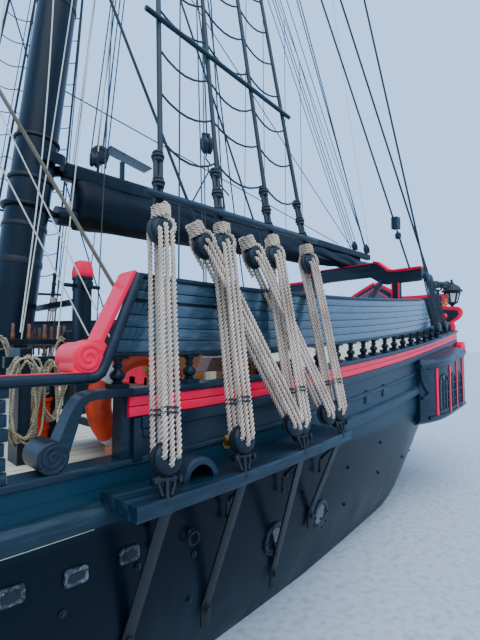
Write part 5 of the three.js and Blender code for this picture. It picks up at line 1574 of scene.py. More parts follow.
lay_ropes("rope_coils", coils, 0.0095, HEMP, lay=0.07, step=0.022)
print("coils", len(HANKS) + 2)

# %% Things in the entry
stand = Shape().box((-3.02, 2.66, 1.72), (-2.94, 2.9, 2.50)).box((-3.3, 2.66, 2.36), (-2.9, 2.72, 2.44))
stand.box((-3.28, 2.6, 1.72), (-3.22, 2.7, 2.44))
place("entry_pin_rack", stand, BLACK_UP, bevel=0.005)
BUOY_AT, BUOY_R = at(-3.72, 3.12, 2.13), 0.32
BUOY_TILT = Matrix.Rotation(math.radians(82), 3, "X") @ Matrix.Rotation(0.6, 3, "Z")
quarter = math.pi / 2
for name, material, thick, first, last in (("ring_buoy", ORANGE, 0.088, 0.16, quarter - 0.16),
                                           ("ring_buoy_bands", WHITE, 0.09, -0.17, 0.17)):
    buoy = Shape()
    for k in range(4):
        buoy.tube([BUOY_AT + BUOY_TILT @ at(BUOY_R * math.cos(a), BUOY_R * math.sin(a))
                   for a in spread(k * quarter + first, k * quarter + last, 14)], thick, 16)
    place(name, buoy, material, smooth=60)
light = Shape().turned((-3.30, 3.06, 2.31), (-0.9, 0.3, 0), [
    (0, 0.045), (0.02, 0.062), (0.2, 0.062), (0.22, 0.05), (0.26, 0.05), (0.28, 0.03)], 16)
place("buoy_light", light, ORANGE, smooth=50)
line = [(-3.36, 3.1, 2.24), (-3.42, 3.12, 2.1), (-3.505, 3.14, 1.9), (-3.515, 3.14, 1.86), (-3.53, 3.14, 1.9),
        (-3.62, 3.14, 2.06), (-3.72, 3.12, 2.16)]
run_bars("buoy_line", [line, [(-3.515, 3.14, 1.87), (-3.515, 3.14, 1.80)]], 0.006, WHITE, sides=6)
small_float = Shape().turned((-3.515, 3.14, 1.70), (0, 0, 1), [
    (0, 0.05), (0.01, 0.062), (0.075, 0.062), (0.085, 0.068), (0.105, 0.066), (0.112, 0.03),
    (0.125, 0.022)], 16)
place("small_float", small_float, BUFF, smooth=50)
bucket = Shape().turned((-3.12, 2.62, 1.74), (0, 0, 1), [
    (0, 0.1), (0.01, 0.112), (0.16, 0.125), (0.165, 0.133), (0.19, 0.134), (0.195, 0.127), (0.28, 0.133),
    (0.285, 0.141), (0.31, 0.142), (0.315, 0.134), (0.37, 0.138), (0.375, 0.15),
    (0.395, 0.15), (0.395, 0.132), (0.36, 0.128), (0.35, 0.1)], 22)
place("bucket", bucket, ORANGE, smooth=30)
ramp = Shape().slab([(-3.36, 1.98), (-3.95, 1.80), (-3.95, 1.76), (-3.38, 1.94)], "Y", 2.5, 3.12)
for k in range(14):
    x = -3.40 - k * 0.04
    ramp.box((x - 0.012, 2.5, 1.965 - k * 0.0122), (x + 0.006, 3.12, 1.985 - k * 0.0122))
place("ribbed_ramp", ramp, plain("ramp_rubber", "3b4146", 0.7))
chest = Shape().box((-4.3, 2.5, 1.72), (-3.7, 3.1, 1.92)).box((-3.68, 3.0, 1.72), (-3.56, 3.2, 1.88))
place("low_chest", chest, RED, bevel=0.012)
boards = Shape().box((-4.95, 2.7, 1.72), (-4.85, 3.2, 2.42)).box((-5.6, 2.8, 2.16), (-4.9, 3.2, 2.36))
boards.slab([(-4.35, 2.30), (-4.75, 2.30), (-4.65, 2.42), (-4.42, 2.42)], "Y", 3.0, 3.15)
place("stowed_boards", boards, VARNISH, bevel=0.006)
stowed = Shape().box((-4.78, 3.05, 2.2), (-4.66, 3.2, 2.38)).box((-4.1, 3.0, 1.72), (-4.0, 3.1, 2.46))
place("pale_boxes", stowed, WHITE, bevel=0.006)
print("entry furnished")

# %% [markdown]
# ## Deck furniture
# The hatches carry gratings, the companion has red panelled doors, and the skylight has glass under bars.
# Aft stand the binnacle and the wheel, whose rim and spokes are varnished.

# %% Hatches, companion, skylight and helm
def grating(x0, x1, y0, y1, z, pitch=0.085):
    """Crossed battens."""
    shape = Shape()
    for x in spread(x0, x1, round((x1 - x0) / pitch)):
        shape.box((x - 0.018, y0, z - 0.03), (x + 0.018, y1, z))
    for y in spread(y0, y1, round((y1 - y0) / pitch)):
        shape.box((x0, y - 0.018, z - 0.026), (x1, y + 0.018, z + 0.004))
    return shape


for name, x, long, wide in (("main", 0.8, 1.7, 1.5), ("fore", 7.4, 0.9, 0.9)):
    deck, a, b = DECK_Z + rise(x), long / 2, wide / 2
    top = deck + 0.32
    coaming = Shape()
    for s in (-1, 1):
        coaming.box((x - a, s * b, deck + 0.02), (x + a, s * (b - 0.09), top))
        coaming.box((x + s * a, -b, deck + 0.02), (x + s * (a - 0.09), b, top))
    coaming.box((x - a + 0.08, -b + 0.08, deck), (x + a - 0.08, b - 0.08, top - 0.09))
    place(f"{name}_hatch_coaming", coaming, BLACK, replaces=[f"{name}_hatch"], bevel=0.008)
    crossed = grating(x - a + 0.1, x + a - 0.1, -b + 0.1, b - 0.1, top - 0.008)
    place(f"{name}_hatch_grating", crossed, VARNISH)

sky_z = QUARTERDECK_Z + rise(-7.9)
light_box = Shape().slab([(-0.52, sky_z), (0.52, sky_z), (0.52, sky_z + 0.33), (0, sky_z + 0.60),
                          (-0.52, sky_z + 0.33)],
                         "X", -8.5, -7.3)
place("skylight_house", light_box, BLACK, replaces=["skylight"], bevel=0.006)
ridge, slope = at(z=sky_z + 0.605), at(0, 0.52, -0.27).normalized()


def on_slope(shape, s, ends, a, b, low, high):
    """A flat piece on one slope of the skylight, from a to b on the slope and between two heights over it."""
    around = ((a, low), (b, low), (b, high), (a, high))
    return shape.loft([[(x, s * p.y, p.z + lift) for p, lift in around] for x in ends])


frames, panes, guards = Shape(), Shape(), Shape()
for s in (-1, 1):
    for x in spread(-8.44, -7.72, 2):
        for t in (0.05, 0.50):
            a = ridge + slope * t
            on_slope(frames, s, (x, x + 0.33), a, a + slope * 0.05, 0.004, 0.03)
        a, b = ridge + slope * 0.1, ridge + slope * 0.5
        on_slope(panes, s, (x + 0.02, x + 0.31), a, b, 0.002, 0.016)
        for k in range(4):
            bar_x = x + 0.05 + k * 0.075
            guards.tube([(bar_x, s * a.y, a.z + 0.04), (bar_x, s * b.y, b.z + 0.04)], 0.007, 6)
place("skylight_frames", frames, VARNISH)
place("skylight_panes", panes, GLASS, slot="window_glass")
place("skylight_guards", guards, BRONZE, slot="bronze")

hood_z = DECK_Z + rise(-6.0)
for end, s in ENDS:
    body, door = f"companion_door_{end}", Shape()
    y0, y1 = sorted((s * 0.004, s * 0.413))
    z0, z1 = hood_z + 0.187, hood_z + 1.093
    door.box((-5.544, y0, z0), (-5.518, y1, z1))
    for a0, a1, b0, b1 in ((y0, y1, z0, z0 + 0.1), (y0, y1, z1 - 0.09, z1), (y0, y0 + 0.075, z0, z1),
                           (y1 - 0.075, y1, z0, z1), (y0, y1, z0 + 0.45, z0 + 0.53)):
        door.box((-5.53, a0, b0), (-5.506, a1, b1))
    place(f"door_{end}", door, RED_UP, body=body, slot="red_trim", replaces=[body])
    knob = Shape().turned((-5.506, s * 0.05, hood_z + 0.62), (1, 0, 0), [
        (0, 0.02), (0.012, 0.02), (0.02, 0.008), (0.035, 0.012), (0.045, 0.018), (0.055, 0.01)], 10)
    for up in (0.32, 0.90):
        knob.box((-5.512, s * 0.3, hood_z + up + 0.06), (-5.496, s * 0.418, hood_z + up + 0.12))
    place(f"door_fittings_{end}", knob, BRONZE, body=body, slot="bronze")
top = hood_z + 1.1
slide = Shape().box((-6.48, -0.5, top + 0.0004), (-5.46, 0.5, top + 0.045))
for y in spread(-0.42, 0.42, 6):
    slide.box((-6.47, y - 0.062, top + 0.045), (-5.47, y + 0.062, top + 0.058))
place("companion_slide_boards", slide, VARNISH, body="companion_slide", slot="varnished_wood",
      replaces=["companion_slide"])

HELM_X, COMPASS_X = -9.9, -8.95
hub = at(HELM_X, 0, QUARTERDECK_Z + rise(HELM_X) + 0.82)
wheel = Shape()
for r, thick in ((0.446, 0.032), (0.40, 0.012), (0.49, 0.012)):
    wheel.tube(ring_round(hub, at(0, 1), at(z=1), r, 40), thick, 8, closed=True)
wheel.turned(hub - at(0.06), (1, 0, 0), [(0, 0.06), (0.01, 0.1), (0.05, 0.11), (0.09, 0.1), (0.12, 0.05)], 20)
wheel.turned(hub - at(0.38), (1, 0, 0), [(0, 0.0395), (0.32, 0.0395)], 16)
for a in angles(8):
    wheel.turned(hub, (0, math.cos(a), math.sin(a)), [
        (0.08, 0.024), (0.12, 0.018), (0.2, 0.026), (0.3, 0.018), (0.4, 0.024), (0.49, 0.022), (0.51, 0.014),
        (0.54, 0.02), (0.6, 0.021), (0.62, 0.01)], 8)
place("wheel_timber", wheel, VARNISH, body="wheel", slot="varnished_wood",
      replaces=["steering_wheel"], smooth=45)
compass_z = QUARTERDECK_Z + rise(COMPASS_X)
case = Shape()
for half, low, high in ((0.2, 0.0, 0.1), (0.17, 0.09, 0.94), (0.2, 0.92, 1.0)):
    case.box((COMPASS_X - half, -half, compass_z + low), (COMPASS_X + half, half, compass_z + high))
place("binnacle_case", case, VARNISH, replaces=["binnacle"], slot="varnished_wood", bevel=0.008)
dome = Shape().turned((COMPASS_X, 0, compass_z + 1.0), (0, 0, 1), [
    (0, 0.185), (0.03, 0.185), (0.04, 0.165), (0.1, 0.155), (0.15, 0.12), (0.18, 0.06), (0.19, 0.02)], 24)
place("binnacle_dome", dome, BRONZE, slot="bronze", smooth=50)
print("deck furnished")


# %% [markdown]
# ## The stern
# Each quarter gallery is a shallow bay under a rounded hood, with arched and barred lights between red
# pilasters. The transom carries a gabled taffrail edged in red, a row of stern lights, and gilded scrollwork
# of a plain traditional kind. A lantern stands on a red bracket at each corner.

# %% Quarter galleries
GALLERY_X = -9.1


def gallery_out(x):
    """How far a gallery's face stands out from the ship's side."""
    return 0.06 + 0.26 * (1 - (1 - min((GALLERY_X - x) / 1.125, 1)) ** 2.2)


def gallery_face(x, z):
    """The outer face of a gallery."""
    return side(x) + gallery_out(x)


def relief(shape, outline, surface, low, high):
    """An outline in x and z, raised from a curved face that looks to port."""
    return shape.loft([[(x, surface(x, z) + d, z) for x, z in outline] for d in (low, high)])


def arched(x0, x1, z0, z1, steps=12):
    """Outline of a light with a round head."""
    half, centre = (x1 - x0) / 2, (x0 + x1) / 2
    head = [(centre + half * math.cos(a), z1 - half + half * math.sin(a)) for a in spread(0, math.pi, steps)]
    return [(x0, z0), (x1, z0), *head]


rings = []
for x in spread(GALLERY_X, -11.35, 30):
    out, foot, top = gallery_out(x), 1.25 + 0.032 * (GALLERY_X - x), 2.25 + rise(x) - rise(GALLERY_X)
    rings.append([(x, side(x) + y, z) for y, z in (
        (-0.1, 1.5), (-0.5, foot - 0.1), (out - 0.1, foot - 0.01), (out - 0.03, foot + 0.035),
        (out, foot + 0.11), (out, top - 0.12), (out + 0.03, top - 0.1), (out + 0.05, top - 0.07),
        (out + 0.045, top - 0.035), (out + 0.015, top), (0.08, top + 0.05), (-0.1, top + 0.055))])
place_pair("gallery_bay", Shape().loft(rings), BLACK, slot="hull_paint",
           replaces=["quarter_gallery"], smooth=30)
PILASTERS = [-9.52, -10.05, -10.58, -11.11]
pilaster, lights, lead, trim = Shape(), Shape(), Shape(), Shape()
for x in PILASTERS:
    top = 2.12 + rise(x) - rise(GALLERY_X)
    relief(pilaster, board(x - 0.028, x + 0.028, 1.38, top), gallery_face, -0.01, 0.018)
for x1, x0 in zip(PILASTERS, PILASTERS[1:]):
    low, high = x0 + 0.085, x1 - 0.085
    opening = arched(low, high, 1.46, 2.05)
    relief(lights, opening, gallery_face, -0.01, 0.004)
    edge = [(x, gallery_face(x, z) + 0.006, z) for x, z in opening]
    trim.tube([*edge, edge[0]], 0.016, 6)
    for x in spread(low, high, 3)[1:-1]:
        lead.tube([(x, gallery_face(x, z) + 0.008, z) for z in (1.46, 2.02)], 0.007, 5)
    for z in (1.61, 1.75, 1.89):
        lead.tube([(x, gallery_face(x, z) + 0.009, z) for x in spread(low, high, 4)], 0.007, 5)
sill = [(x, 1.345 + 0.032 * (GALLERY_X - x)) for x in spread(-9.3, -11.34, 20)]
lintel = [(x, 2.135 + rise(x) - rise(GALLERY_X)) for x in spread(-9.3, -11.34, 20)]
fold = smooth_path([(-9.20, 2.19), (-9.12, 2.185), (-9.115, 2.10), (-9.13, 1.98), (-9.2, 1.85), (-9.27, 1.77),
                    (-9.23, 1.70), (-9.13, 1.69)], 5)
for path, proud, r in ((sill, 0.004, 0.024), (lintel, 0.004, 0.016), (fold, 0.012, 0.024)):
    trim.tube([(x, gallery_face(x, z) + proud, z) for x, z in path], r, 8)
place_pair("gallery_pilasters", pilaster, RED_UP, slot="red_trim", bevel=0.004)
place_pair("gallery_lights", lights, GLASS, slot="window_glass")
place_pair("gallery_trim", trim, BLACK)
place_pair("gallery_bars", lead, CHANNEL_BLACK)
print("gallery lights", 2 * (len(PILASTERS) - 1))

# %% Transom and taffrail
TEAL = painted("teal_paint", "2b8f86", "5aa59c", grain=0.25, roughness=0.4)


def on_transom(y, z, proud=0.0):
    """A point of the transom's after face; proud is how far it stands aft."""
    return Vector((TRANSOM_X - 0.12 - proud + transom_shift(z), y, z))


half_line = [(hull_half(TRANSOM_X, z), z) for z in spread(STERN_FOOT_Z, WALE_Z + rise(TRANSOM_X), 8)]
stern_half = side(TRANSOM_X)
side_line = smooth_path([
    (stern_half + 0.05, 2.3), (2.35, 2.38), (2.24, 2.5), (2.08, 2.6), (2.03, 2.68),
    (2.06, 2.77), (2.12, 2.87), (2.12, 2.97), (2.07, 3.06), (2.11, 3.13), (2.21, 3.2), (2.25, 3.28),
    (2.2, 3.35), (2.0, 3.37), (1.83, 3.42), (1.8, 3.52), (1.86, 3.61), (1.83, 3.68), (1.68, 3.7),
    (1.4, 3.7), (1.1, 3.7)], 4)
crest_line = [(0.72, 3.72), *[(0.72 * (1 - t), 3.75 + 0.43 * t ** 0.8) for t in spread(0, 1, 10)]]
top_line = side_line + crest_line
whole_line = half_line + top_line
whole_line += [(-y, z) for y, z in whole_line[::-1][1:]]
plate = Shape().loft([[(TRANSOM_X + dx + transom_shift(z), y, z) for y, z in whole_line]
                      for dx in (-0.12, -0.0008)])
place("transom_board", plate, BLACK_ACROSS, slot="hull_paint", replaces=["transom"], bevel=0.008)
edging, crest = Shape(), Shape()
RAIL_SCROLL = smooth_path([(1.95, 3.22), (2.07, 3.24), (2.04, 3.18), (1.97, 3.08), (2.0, 2.95), (2.0, 2.85),
                           (1.94, 2.72)], 5)
for s in (-1, 1):
    line = [(TRANSOM_X - 0.06 + transom_shift(z), s * (y + 0.006), z + 0.012) for y, z in top_line]
    edging.sweep(line, rounded(rect(0.075, 0.024), 0.015, 2), up=(1, 0, 0))
    for dx in (0.016, -0.136):
        crest.tube([(TRANSOM_X + dx + transom_shift(z - 0.09), s * max(y - 0.1, 0), z - 0.1)
                    for y, z in crest_line[1:]], 0.018, 6)
        crest.tube([(TRANSOM_X + dx + transom_shift(z), s * (y - 0.09), z) for y, z in RAIL_SCROLL],
                   [0.035 + 0.02 * math.sin(0.2 * i) for i in range(31)], 8)
place("taffrail_edge", edging, RED, slot="red_trim")
place("gable_edge", crest, RED, slot="red_trim")
panel_line = [(y * 0.8, 3.73 + (z - 3.72) * 0.74) for y, z in crest_line[1:]]
panel_line += [(-y, z) for y, z in panel_line[::-1][1:]]
gable = Shape()
for pair in ((0.002, 0.014), (-0.134, -0.122)):
    gable.loft([[(TRANSOM_X + dx + transom_shift(z), y, z) for y, z in panel_line] for dx in pair])
place("gable_panel", gable, SCREEN_BLACK)

windows, light_frames, gilding, mullions = Shape(), Shape(), Shape(), Shape()
for k in range(-2, 3):
    centre = 0.78 * k
    opening = arched(centre - 0.25, centre + 0.25, 2.42, 3.06)
    windows.loft([[on_transom(y, z, d) for y, z in opening] for d in (-0.01, 0.006)])
    around = [on_transom(y, z, 0.01) for y, z in opening]
    light_frames.tube([*around, around[0]], 0.026, 8)
    for y in (centre - 0.083, centre + 0.083):
        mullions.tube([on_transom(y, 2.42, 0.012), on_transom(y, 3.02, 0.012)], 0.009, 5)
    for z in (2.58, 2.73, 2.88):
        mullions.tube([on_transom(centre - 0.25, z, 0.012), on_transom(centre + 0.25, z, 0.012)], 0.009, 5)
for y in spread(-1.95, 1.95, 5):
    light_frames.loft([[on_transom(y + u, z, d) for u, z in board(-0.035, 0.035, 2.33, 3.13)]
                       for d in (0.0, 0.03)])
for z, r in ((2.28, 0.035), (3.2, 0.03), (1.62, 0.028)):
    wide = stern_half - 0.12 if z > 2 else hull_half(TRANSOM_X, z) - 0.12
    light_frames.tube([on_transom(-wide, z, 0.01), on_transom(wide, z, 0.01)], r, 8)
place("stern_lights", windows, GLASS, slot="window_glass")
place("stern_light_frames", light_frames, RED, slot="red_trim", bevel=0.003)
place("stern_light_bars", mullions, CHANNEL_BLACK)


def scroll_on(shape, surface, centre, r, turns, way, thick):
    """A gilded scroll that tapers into its eye, laid on a surface given by (u, z)."""
    path, radii = [], []
    for t in spread(0, 1, int(20 * turns)):
        a = way * t * turns * 2 * math.pi + (0 if way > 0 else math.pi)
        q = r * (1 - 0.82 * t)
        path.append(surface(centre[0] + q * math.cos(a), centre[1] + q * math.sin(a)))
        radii.append(thick * (1 - 0.55 * t))
    return shape.tube(path, radii, 8)


def on_stern(u, z):
    """A place for gilding on the transom."""
    return on_transom(u, z, 0.012)


for s in (-1, 1):
    for u, z, r, way in ((0.5, 3.47, 0.14, 1), (0.95, 3.46, 0.11, -1), (1.32, 3.42, 0.09, 1),
                         (0.35, 1.98, 0.17, -1), (0.82, 1.98, 0.14, 1), (1.25, 1.98, 0.12, -1),
                         (1.62, 2.0, 0.1, 1)):
        scroll_on(gilding, on_stern, (s * u, z), r, 1.6, way * s, 0.024)
    for u0, u1, z in ((0.62, 0.86, 3.46), (0.5, 0.7, 1.98), (0.94, 1.14, 1.98), (1.36, 1.52, 1.98)):
        gilding.tube([on_stern(s * u0, z - 0.05), on_stern(s * (u0 + u1) / 2, z + 0.05),
                      on_stern(s * u1, z - 0.03)],
                     [0.012, 0.03, 0.012], 8)
for a in angles(12):
    gilding.tube([on_stern(q * math.cos(a), 3.82 + q * math.sin(a)) for q in (0.05, 0.1, 0.15)],
                 [0.012, 0.026, 0.008], 6)
gilding.turned(on_transom(0, 3.82), (-1, 0, 0), [(0, 0.055), (0.02, 0.055), (0.04, 0.03)], 14)
place("stern_gilding", gilding, GILT, smooth=60)

teal_board, leaf = Shape(), Shape()
for z, r in zip(spread(1.5, 2.28, 13), [0.045, 0.07, 0.055, 0.085, 0.06, 0.09, 0.07, 0.095, 0.07,
                                        0.09, 0.06, 0.075, 0.06, 0.04]):
    y = hull_half(TRANSOM_X, z) if z < WALE_Z + rise(TRANSOM_X) else stern_half
    leaf.turned((TRANSOM_X - 0.08 + transom_shift(z), y - 0.03, z - 0.05), (-0.15, 0.25, 1), [
        (0, r * 0.4), (0.03, r * 0.9), (0.06, r), (0.09, r * 0.7), (0.11, r * 0.3)], 9)
for y, z in ((1.86, 3.46), (1.9, 3.52), (1.9, 3.6)):
    leaf.turned((TRANSOM_X - 0.07 + transom_shift(z), y - 0.02, z - 0.04), (-0.3, 0.5, 0.8), [
        (0, 0.02), (0.04, 0.05), (0.08, 0.055), (0.13, 0.02)], 8)
teal_board.loft([[(TRANSOM_X + dx + transom_shift(z), y, z) for y, z in (
    (hull_half(TRANSOM_X, 1.35) + 0.02, 1.3), (stern_half + 0.02, 1.95), (stern_half + 0.02, 2.05),
    (stern_half - 0.15, 2.0), (stern_half - 0.35, 1.3))] for dx in (-0.128, -0.155)])
place_pair("quarter_carving", leaf, GILT, smooth=60)
place_pair("quarter_teal_board", teal_board, TEAL)
centre = (-12.29, 2.5)
curl = roll(centre, 2.16, 2.39, 0.14, 24)
spiral(curl, centre, 2.39, 0.12, 0.015, 1.6, 0.03, 0.009, start=2.2, way=-1)
place_pair("rail_end_curl", curl, RED, slot="red_trim", smooth=40)
print("stern dressed")

# %% Lanterns
bracket = Shape()
path = smooth_path([(-12.42, 3.05), (-12.5, 3.22), (-12.62, 3.33), (-12.76, 3.395),
                    (-12.86, 3.38), (-12.87, 3.3), (-12.79, 3.27)], 5)
bracket.tube([(x, 2.0, z) for x, z in path], [0.035 + 0.002 * i for i in range(len(path))], 10)
bracket.turned((-12.78, 2.0, 3.36), (0, 0, 1), [(0, 0.05), (0.02, 0.085), (0.05, 0.09), (0.07, 0.06),
                                                (0.085, 0.045)], 14)
place_pair("lantern_bracket", bracket, RED, slot="red_trim", smooth=50)
LANTERN_AT = at(-12.78, 2.0, 3.44)


def lantern_corner(a, r, z):
    """A corner of the lantern's frame at an angle, a radius and a height."""
    return LANTERN_AT + at(math.cos(a) * r, math.sin(a) * r, z)


cage, lamp_panes, glow = Shape(), Shape(), Shape()
cage.turned(LANTERN_AT, (0, 0, 1), [
    (0, 0.02), (0.02, 0.04), (0.05, 0.03), (0.07, 0.06), (0.09, 0.085), (0.115, 0.105), (0.12, 0.09)], 12)
cage.turned(LANTERN_AT + at(z=0.365), (0, 0, 1), [
    (-0.03, 0.17), (0, 0.19), (0.012, 0.232), (0.035, 0.235), (0.055, 0.205), (0.1, 0.185),
    (0.15, 0.14), (0.19, 0.08), (0.205, 0.045), (0.22, 0.055), (0.235, 0.035), (0.245, 0.018), (0.28, 0.034),
    (0.31, 0.008)], 24)
for z in (0.115, 0.35):
    r = 0.102 + (z - 0.11) * 0.27
    around = [LANTERN_AT + at(math.cos(a), math.sin(a)) * r + at(z=z) for a in angles(6)]
    cage.tube([*around, around[0]], 0.02, 6)
sixths = spread(0, 2 * math.pi, 6)
for a, b in zip(sixths, sixths[1:]):
    low, high = lantern_corner(a, 0.102, 0.11), lantern_corner(a, 0.172, 0.37)
    cage.tube([low, high], 0.02, 6)
    pane = [low, lantern_corner(b, 0.102, 0.11), lantern_corner(b, 0.172, 0.37), high]
    inward = (LANTERN_AT + at(z=0.24) - (pane[0] + pane[2]) / 2).normalized() * 0.006
    lamp_panes.loft([pane, [corner + inward for corner in pane]])
glow.turned(LANTERN_AT + at(z=0.12), (0, 0, 1), [(0, 0.03), (0.02, 0.035), (0.1, 0.03), (0.14, 0.02),
                                                 (0.16, 0.006)], 12)
place_pair("lantern_cage", cage, IRON, slot="iron", smooth=45)
place_pair("lantern_panes", lamp_panes, LAMP_GLASS, slot="window_glass")
place_pair("lantern_burner", glow, BRONZE, slot="bronze")
print("lanterns placed")

# %% Swivel guns and gallows fittings
GUN_X = -11.25
GUN_Y = side(GUN_X) - 0.13
for end, s in ENDS:
    gun = at(GUN_X, s * GUN_Y, 3.79)
    barrel = Shape().turned(gun + at(0.48, 0, -0.02), (-1, 0, 0.07), [
        (0, 0.012), (0.015, 0.03), (0.035, 0.034), (0.055, 0.024), (0.07, 0.05), (0.09, 0.078),
        (0.12, 0.082), (0.15, 0.078), (0.36, 0.074), (0.37, 0.081), (0.39, 0.081), (0.4, 0.072),
        (0.64, 0.065), (0.65, 0.071), (0.67, 0.071), (0.68, 0.062), (0.82, 0.06), (0.86, 0.066),
        (0.91, 0.092), (0.935, 0.095), (0.94, 0.05), (0.86, 0.044)], 24)
    barrel.tube([gun + at(0, -0.105), gun + at(0, 0.105)], 0.022, 10)
    for y in (-0.095, 0.095):
        barrel.tube([gun + at(0, *step) for step in ((y, 0.01), (y, -0.05), (y * 0.5, -0.1), (0, -0.12))],
                    0.017, 8)
    barrel.turned(gun - at(z=0.225), (0, 0, 1), [(0, 0.026), (0.14, 0.026)], 10)
    place(f"gun_barrel_{end}", barrel, IRON, body=f"swivel_gun_{end}", slot="iron",
          replaces=[f"swivel_gun_{end}"], smooth=40)
post_heads = Shape()
for s in (-1, 1):
    post_heads.turned((GUN_X, s * GUN_Y, 3.36), (0, 0, 1), [
        (0, 0.075), (0.02, 0.09), (0.05, 0.09), (0.06, 0.075), (0.16, 0.07), (0.18, 0.085),
        (0.195, 0.085)], 10)
place("gun_post_heads", post_heads, BLACK_UP)
print("guns placed")


# %% [markdown]
# ## Running rigging
# The lines are a table of places, most of them measured on the picture through the same camera. A line
# between the mast and its boom or gaff lies in a plane through the mast, so it swings with the boom. Lines
# that come down to the rail belong to the ship, and those well off the middle are there on both sides.

# %% Blocks and hooks
PALE = rope("pale_line", "d9d4c4", "8f8976", flecks=0.4, laid=False)
DARK = rope("dark_line", "1b262d", "33414a", flecks=0.5, roughness=0.6, laid=False)
BLOCK = Shape()
for k in (-1, 1):
    BLOCK.loft([[(0.048 * r * math.cos(a), k * y, 0.085 * r * math.sin(a)) for a in angles(14)]
                for r, y in ((1.0, 0.012), (1.0, 0.034), (0.8, 0.046))])
BLOCK.loft([[(0.04 * math.cos(a), y, 0.07 * math.sin(a)) for a in angles(14)] for y in (-0.013, 0.013)])
BLOCK.box((-0.008, -0.04, 0.07), (0.008, 0.04, 0.105))


def hung_blocks(name, spots, body="ship"):
    """Blocks at (point, way, size), each turned along its line."""
    return stand_rows(name, [(point, way, size, (0.3, 1, 0)) for point, way, size in spots],
                      BLOCK, BLACK, body)


def both_sides(paths):
    """Paths and their mirror images."""
    return paths + [mirror_points(path) for path in paths]


def off_mast(name, z, back, out=0.0):
    """A place behind a mast's axis, at a height."""
    return mast_at(name, z) + at(-back, out)


def on_gaff(name, t, lift=0.13, out=0.0):
    """A place over a gaff, at a share of its length."""
    return spars_of(name)[1].lerp(SETS[name]["gaff"], t) + at(0, out, lift)


# %% Halyards and topping lifts
LIFT_Z = 15.0
for name in SETS:
    body, trees = f"{name}_boom", MASTS[name]["trees"]
    throat = [[off_mast(name, trees - 0.7, 0.78 + 0.02 * k, 0.05 - 0.03 * k),
               on_gaff(name, 0.045 + 0.012 * k, 0.24, 0.04 - 0.03 * k)] for k in range(4)]
    peak = [[off_mast(name, z, 0.30 + 0.02 * k, 0.05 * (k % 2)), on_gaff(name, t, 0.1, 0.03 * (k - 1.5))]
            for k, (z, t) in enumerate([(15.0, 0.905), (15.25, 0.912), (15.5, 0.919), (15.8, 0.928)])]
    peak += [[off_mast(name, z, back, out), on_gaff(name, t)]
             for z, back, out, t in ((16.2, 0.3, 0.0, 0.99), (9.9, 0.27, 0.06, 0.9), (6.1, 0.27, 0.0, 0.83))]
    lifts = [[off_mast(name, trees - 0.9, 0.36, s * 0.1), on_gaff(name, t, 0.12, s * 0.04)]
             for s, t in ((1, 0.975), (-1, 1.0))]
    start, tip = off_mast(name, LIFT_Z, 0.3), on_gaff(name, 0.995)
    knot = start.lerp(tip, 0.73)
    lazy = [[start, knot, tip]]
    for t, lean in ((0.43, 0.02), (0.5, 0.0), (0.58, 0.01), (0.65, 0.0)):
        foot = on_gaff(name, t, 0.1, 0.05)
        lazy.append([start.lerp(knot, (foot.x - start.x) / (knot.x - start.x) + lean), foot])
    vangs = [[off_mast(name, 18.2 if name == "main" else 14.2, 0.5, 0.1 * s),
              off_mast(name, 5.25, back, 0.3 * s)]
             for s, back in ((1, 0.72), (-1, 0.62))]
    for kind, paths, r, material in (("throat_halyard", throat, 0.0095, DARK),
                                     ("peak_halyard", peak, 0.0095, DARK),
                                     ("topping_lifts", lifts, 0.013, DARK),
                                     ("lazy_lines", lazy, 0.007, DARK), ("vangs", vangs, 0.008, PALE)):
        run_bars(f"{name}_{kind}", paths, r, material, body, sides=5)
    away = (off_mast(name, trees - 1, 0.4) - on_gaff(name, 0.99)).normalized()
    gear = [(on_gaff(name, 0.99, 0.2), away, 1.35), (on_gaff(name, 0.92, 0.19), away, 1.2),
            (on_gaff(name, 0.055, 0.3), (0, 0, 1), 1.3), (off_mast(name, trees - 0.6, 0.8), (0, 0, 1), 1.5),
            (off_mast(name, 15.6, 0.36), -away, 1.3)]
    hung_blocks(f"{name}_gaff_blocks", gear, body)
drum = Shape().turned((-4.93, -0.03, 5.36), (0.35, 0.93, 0.1), [
    (-0.06, 0.08), (-0.055, 0.128), (-0.03, 0.132), (-0.02, 0.11), (0.02, 0.11),
    (0.03, 0.132), (0.055, 0.128), (0.06, 0.08), (0.05, 0.07)], 28)
drum.tube([(-4.9, 0, 5.24), (-4.885, 0, 5.1), (-4.88, 0, 4.99)], 0.02, 8)
place("throat_block", drum, SPAR, body="main_boom")
lamp_board = Shape().slab([(-5.02, 5.49), (-5.74, 5.35), (-5.74, 5.33), (-5.02, 5.46)], "Y", -0.12, 0.12)
place("boom_light_board", lamp_board, SCREEN_BLACK, body="main_boom", bevel=0.004)
lamp_post = Shape().box((-5.31, -0.03, 4.9), (-5.25, 0.03, 5.34))
place("boom_light_stand", lamp_post, BLACK, body="main_boom", bevel=0.004)
print("halyards of", ", ".join(SETS))

# %% Lines to the rail and between the masts
down = [
    [(-5.35, 0.15, 18.7), (-4.57, 0.69, 2.6)], [(-5.46, 0.3, 19.0), (-3.99, 2.98, 2.7)],
    [(-6.08, 0.3, 19.0), (-4.17, 3.0, 2.7)], [(-6.04, 0.3, 19.0), (-5.14, 2.18, 2.7)],
    [(-6.32, 0.3, 19.0), (-5.53, 1.74, 2.7)],
]
pale_down = [
    [(-5.62, 0.2, 18.7), (-4.03, 0.8, 2.6)], [(-5.66, 0.2, 18.7), (-3.68, 0.65, 2.6)],
    [(3.9, 0.1, 18.8), (-4.26, 1.63, 2.62)], [(3.9, 0.1, 17.8), (-3.87, 1.95, 2.62)],
]
pale_down.append(smooth_path([(-4.2, 0.2, 20.2), (-4.05, 0.45, 14.0), (-3.85, 0.95, 8.0), (-3.62, 1.35, 4.8),
                              (-3.36, 1.6, 2.65)], 6))
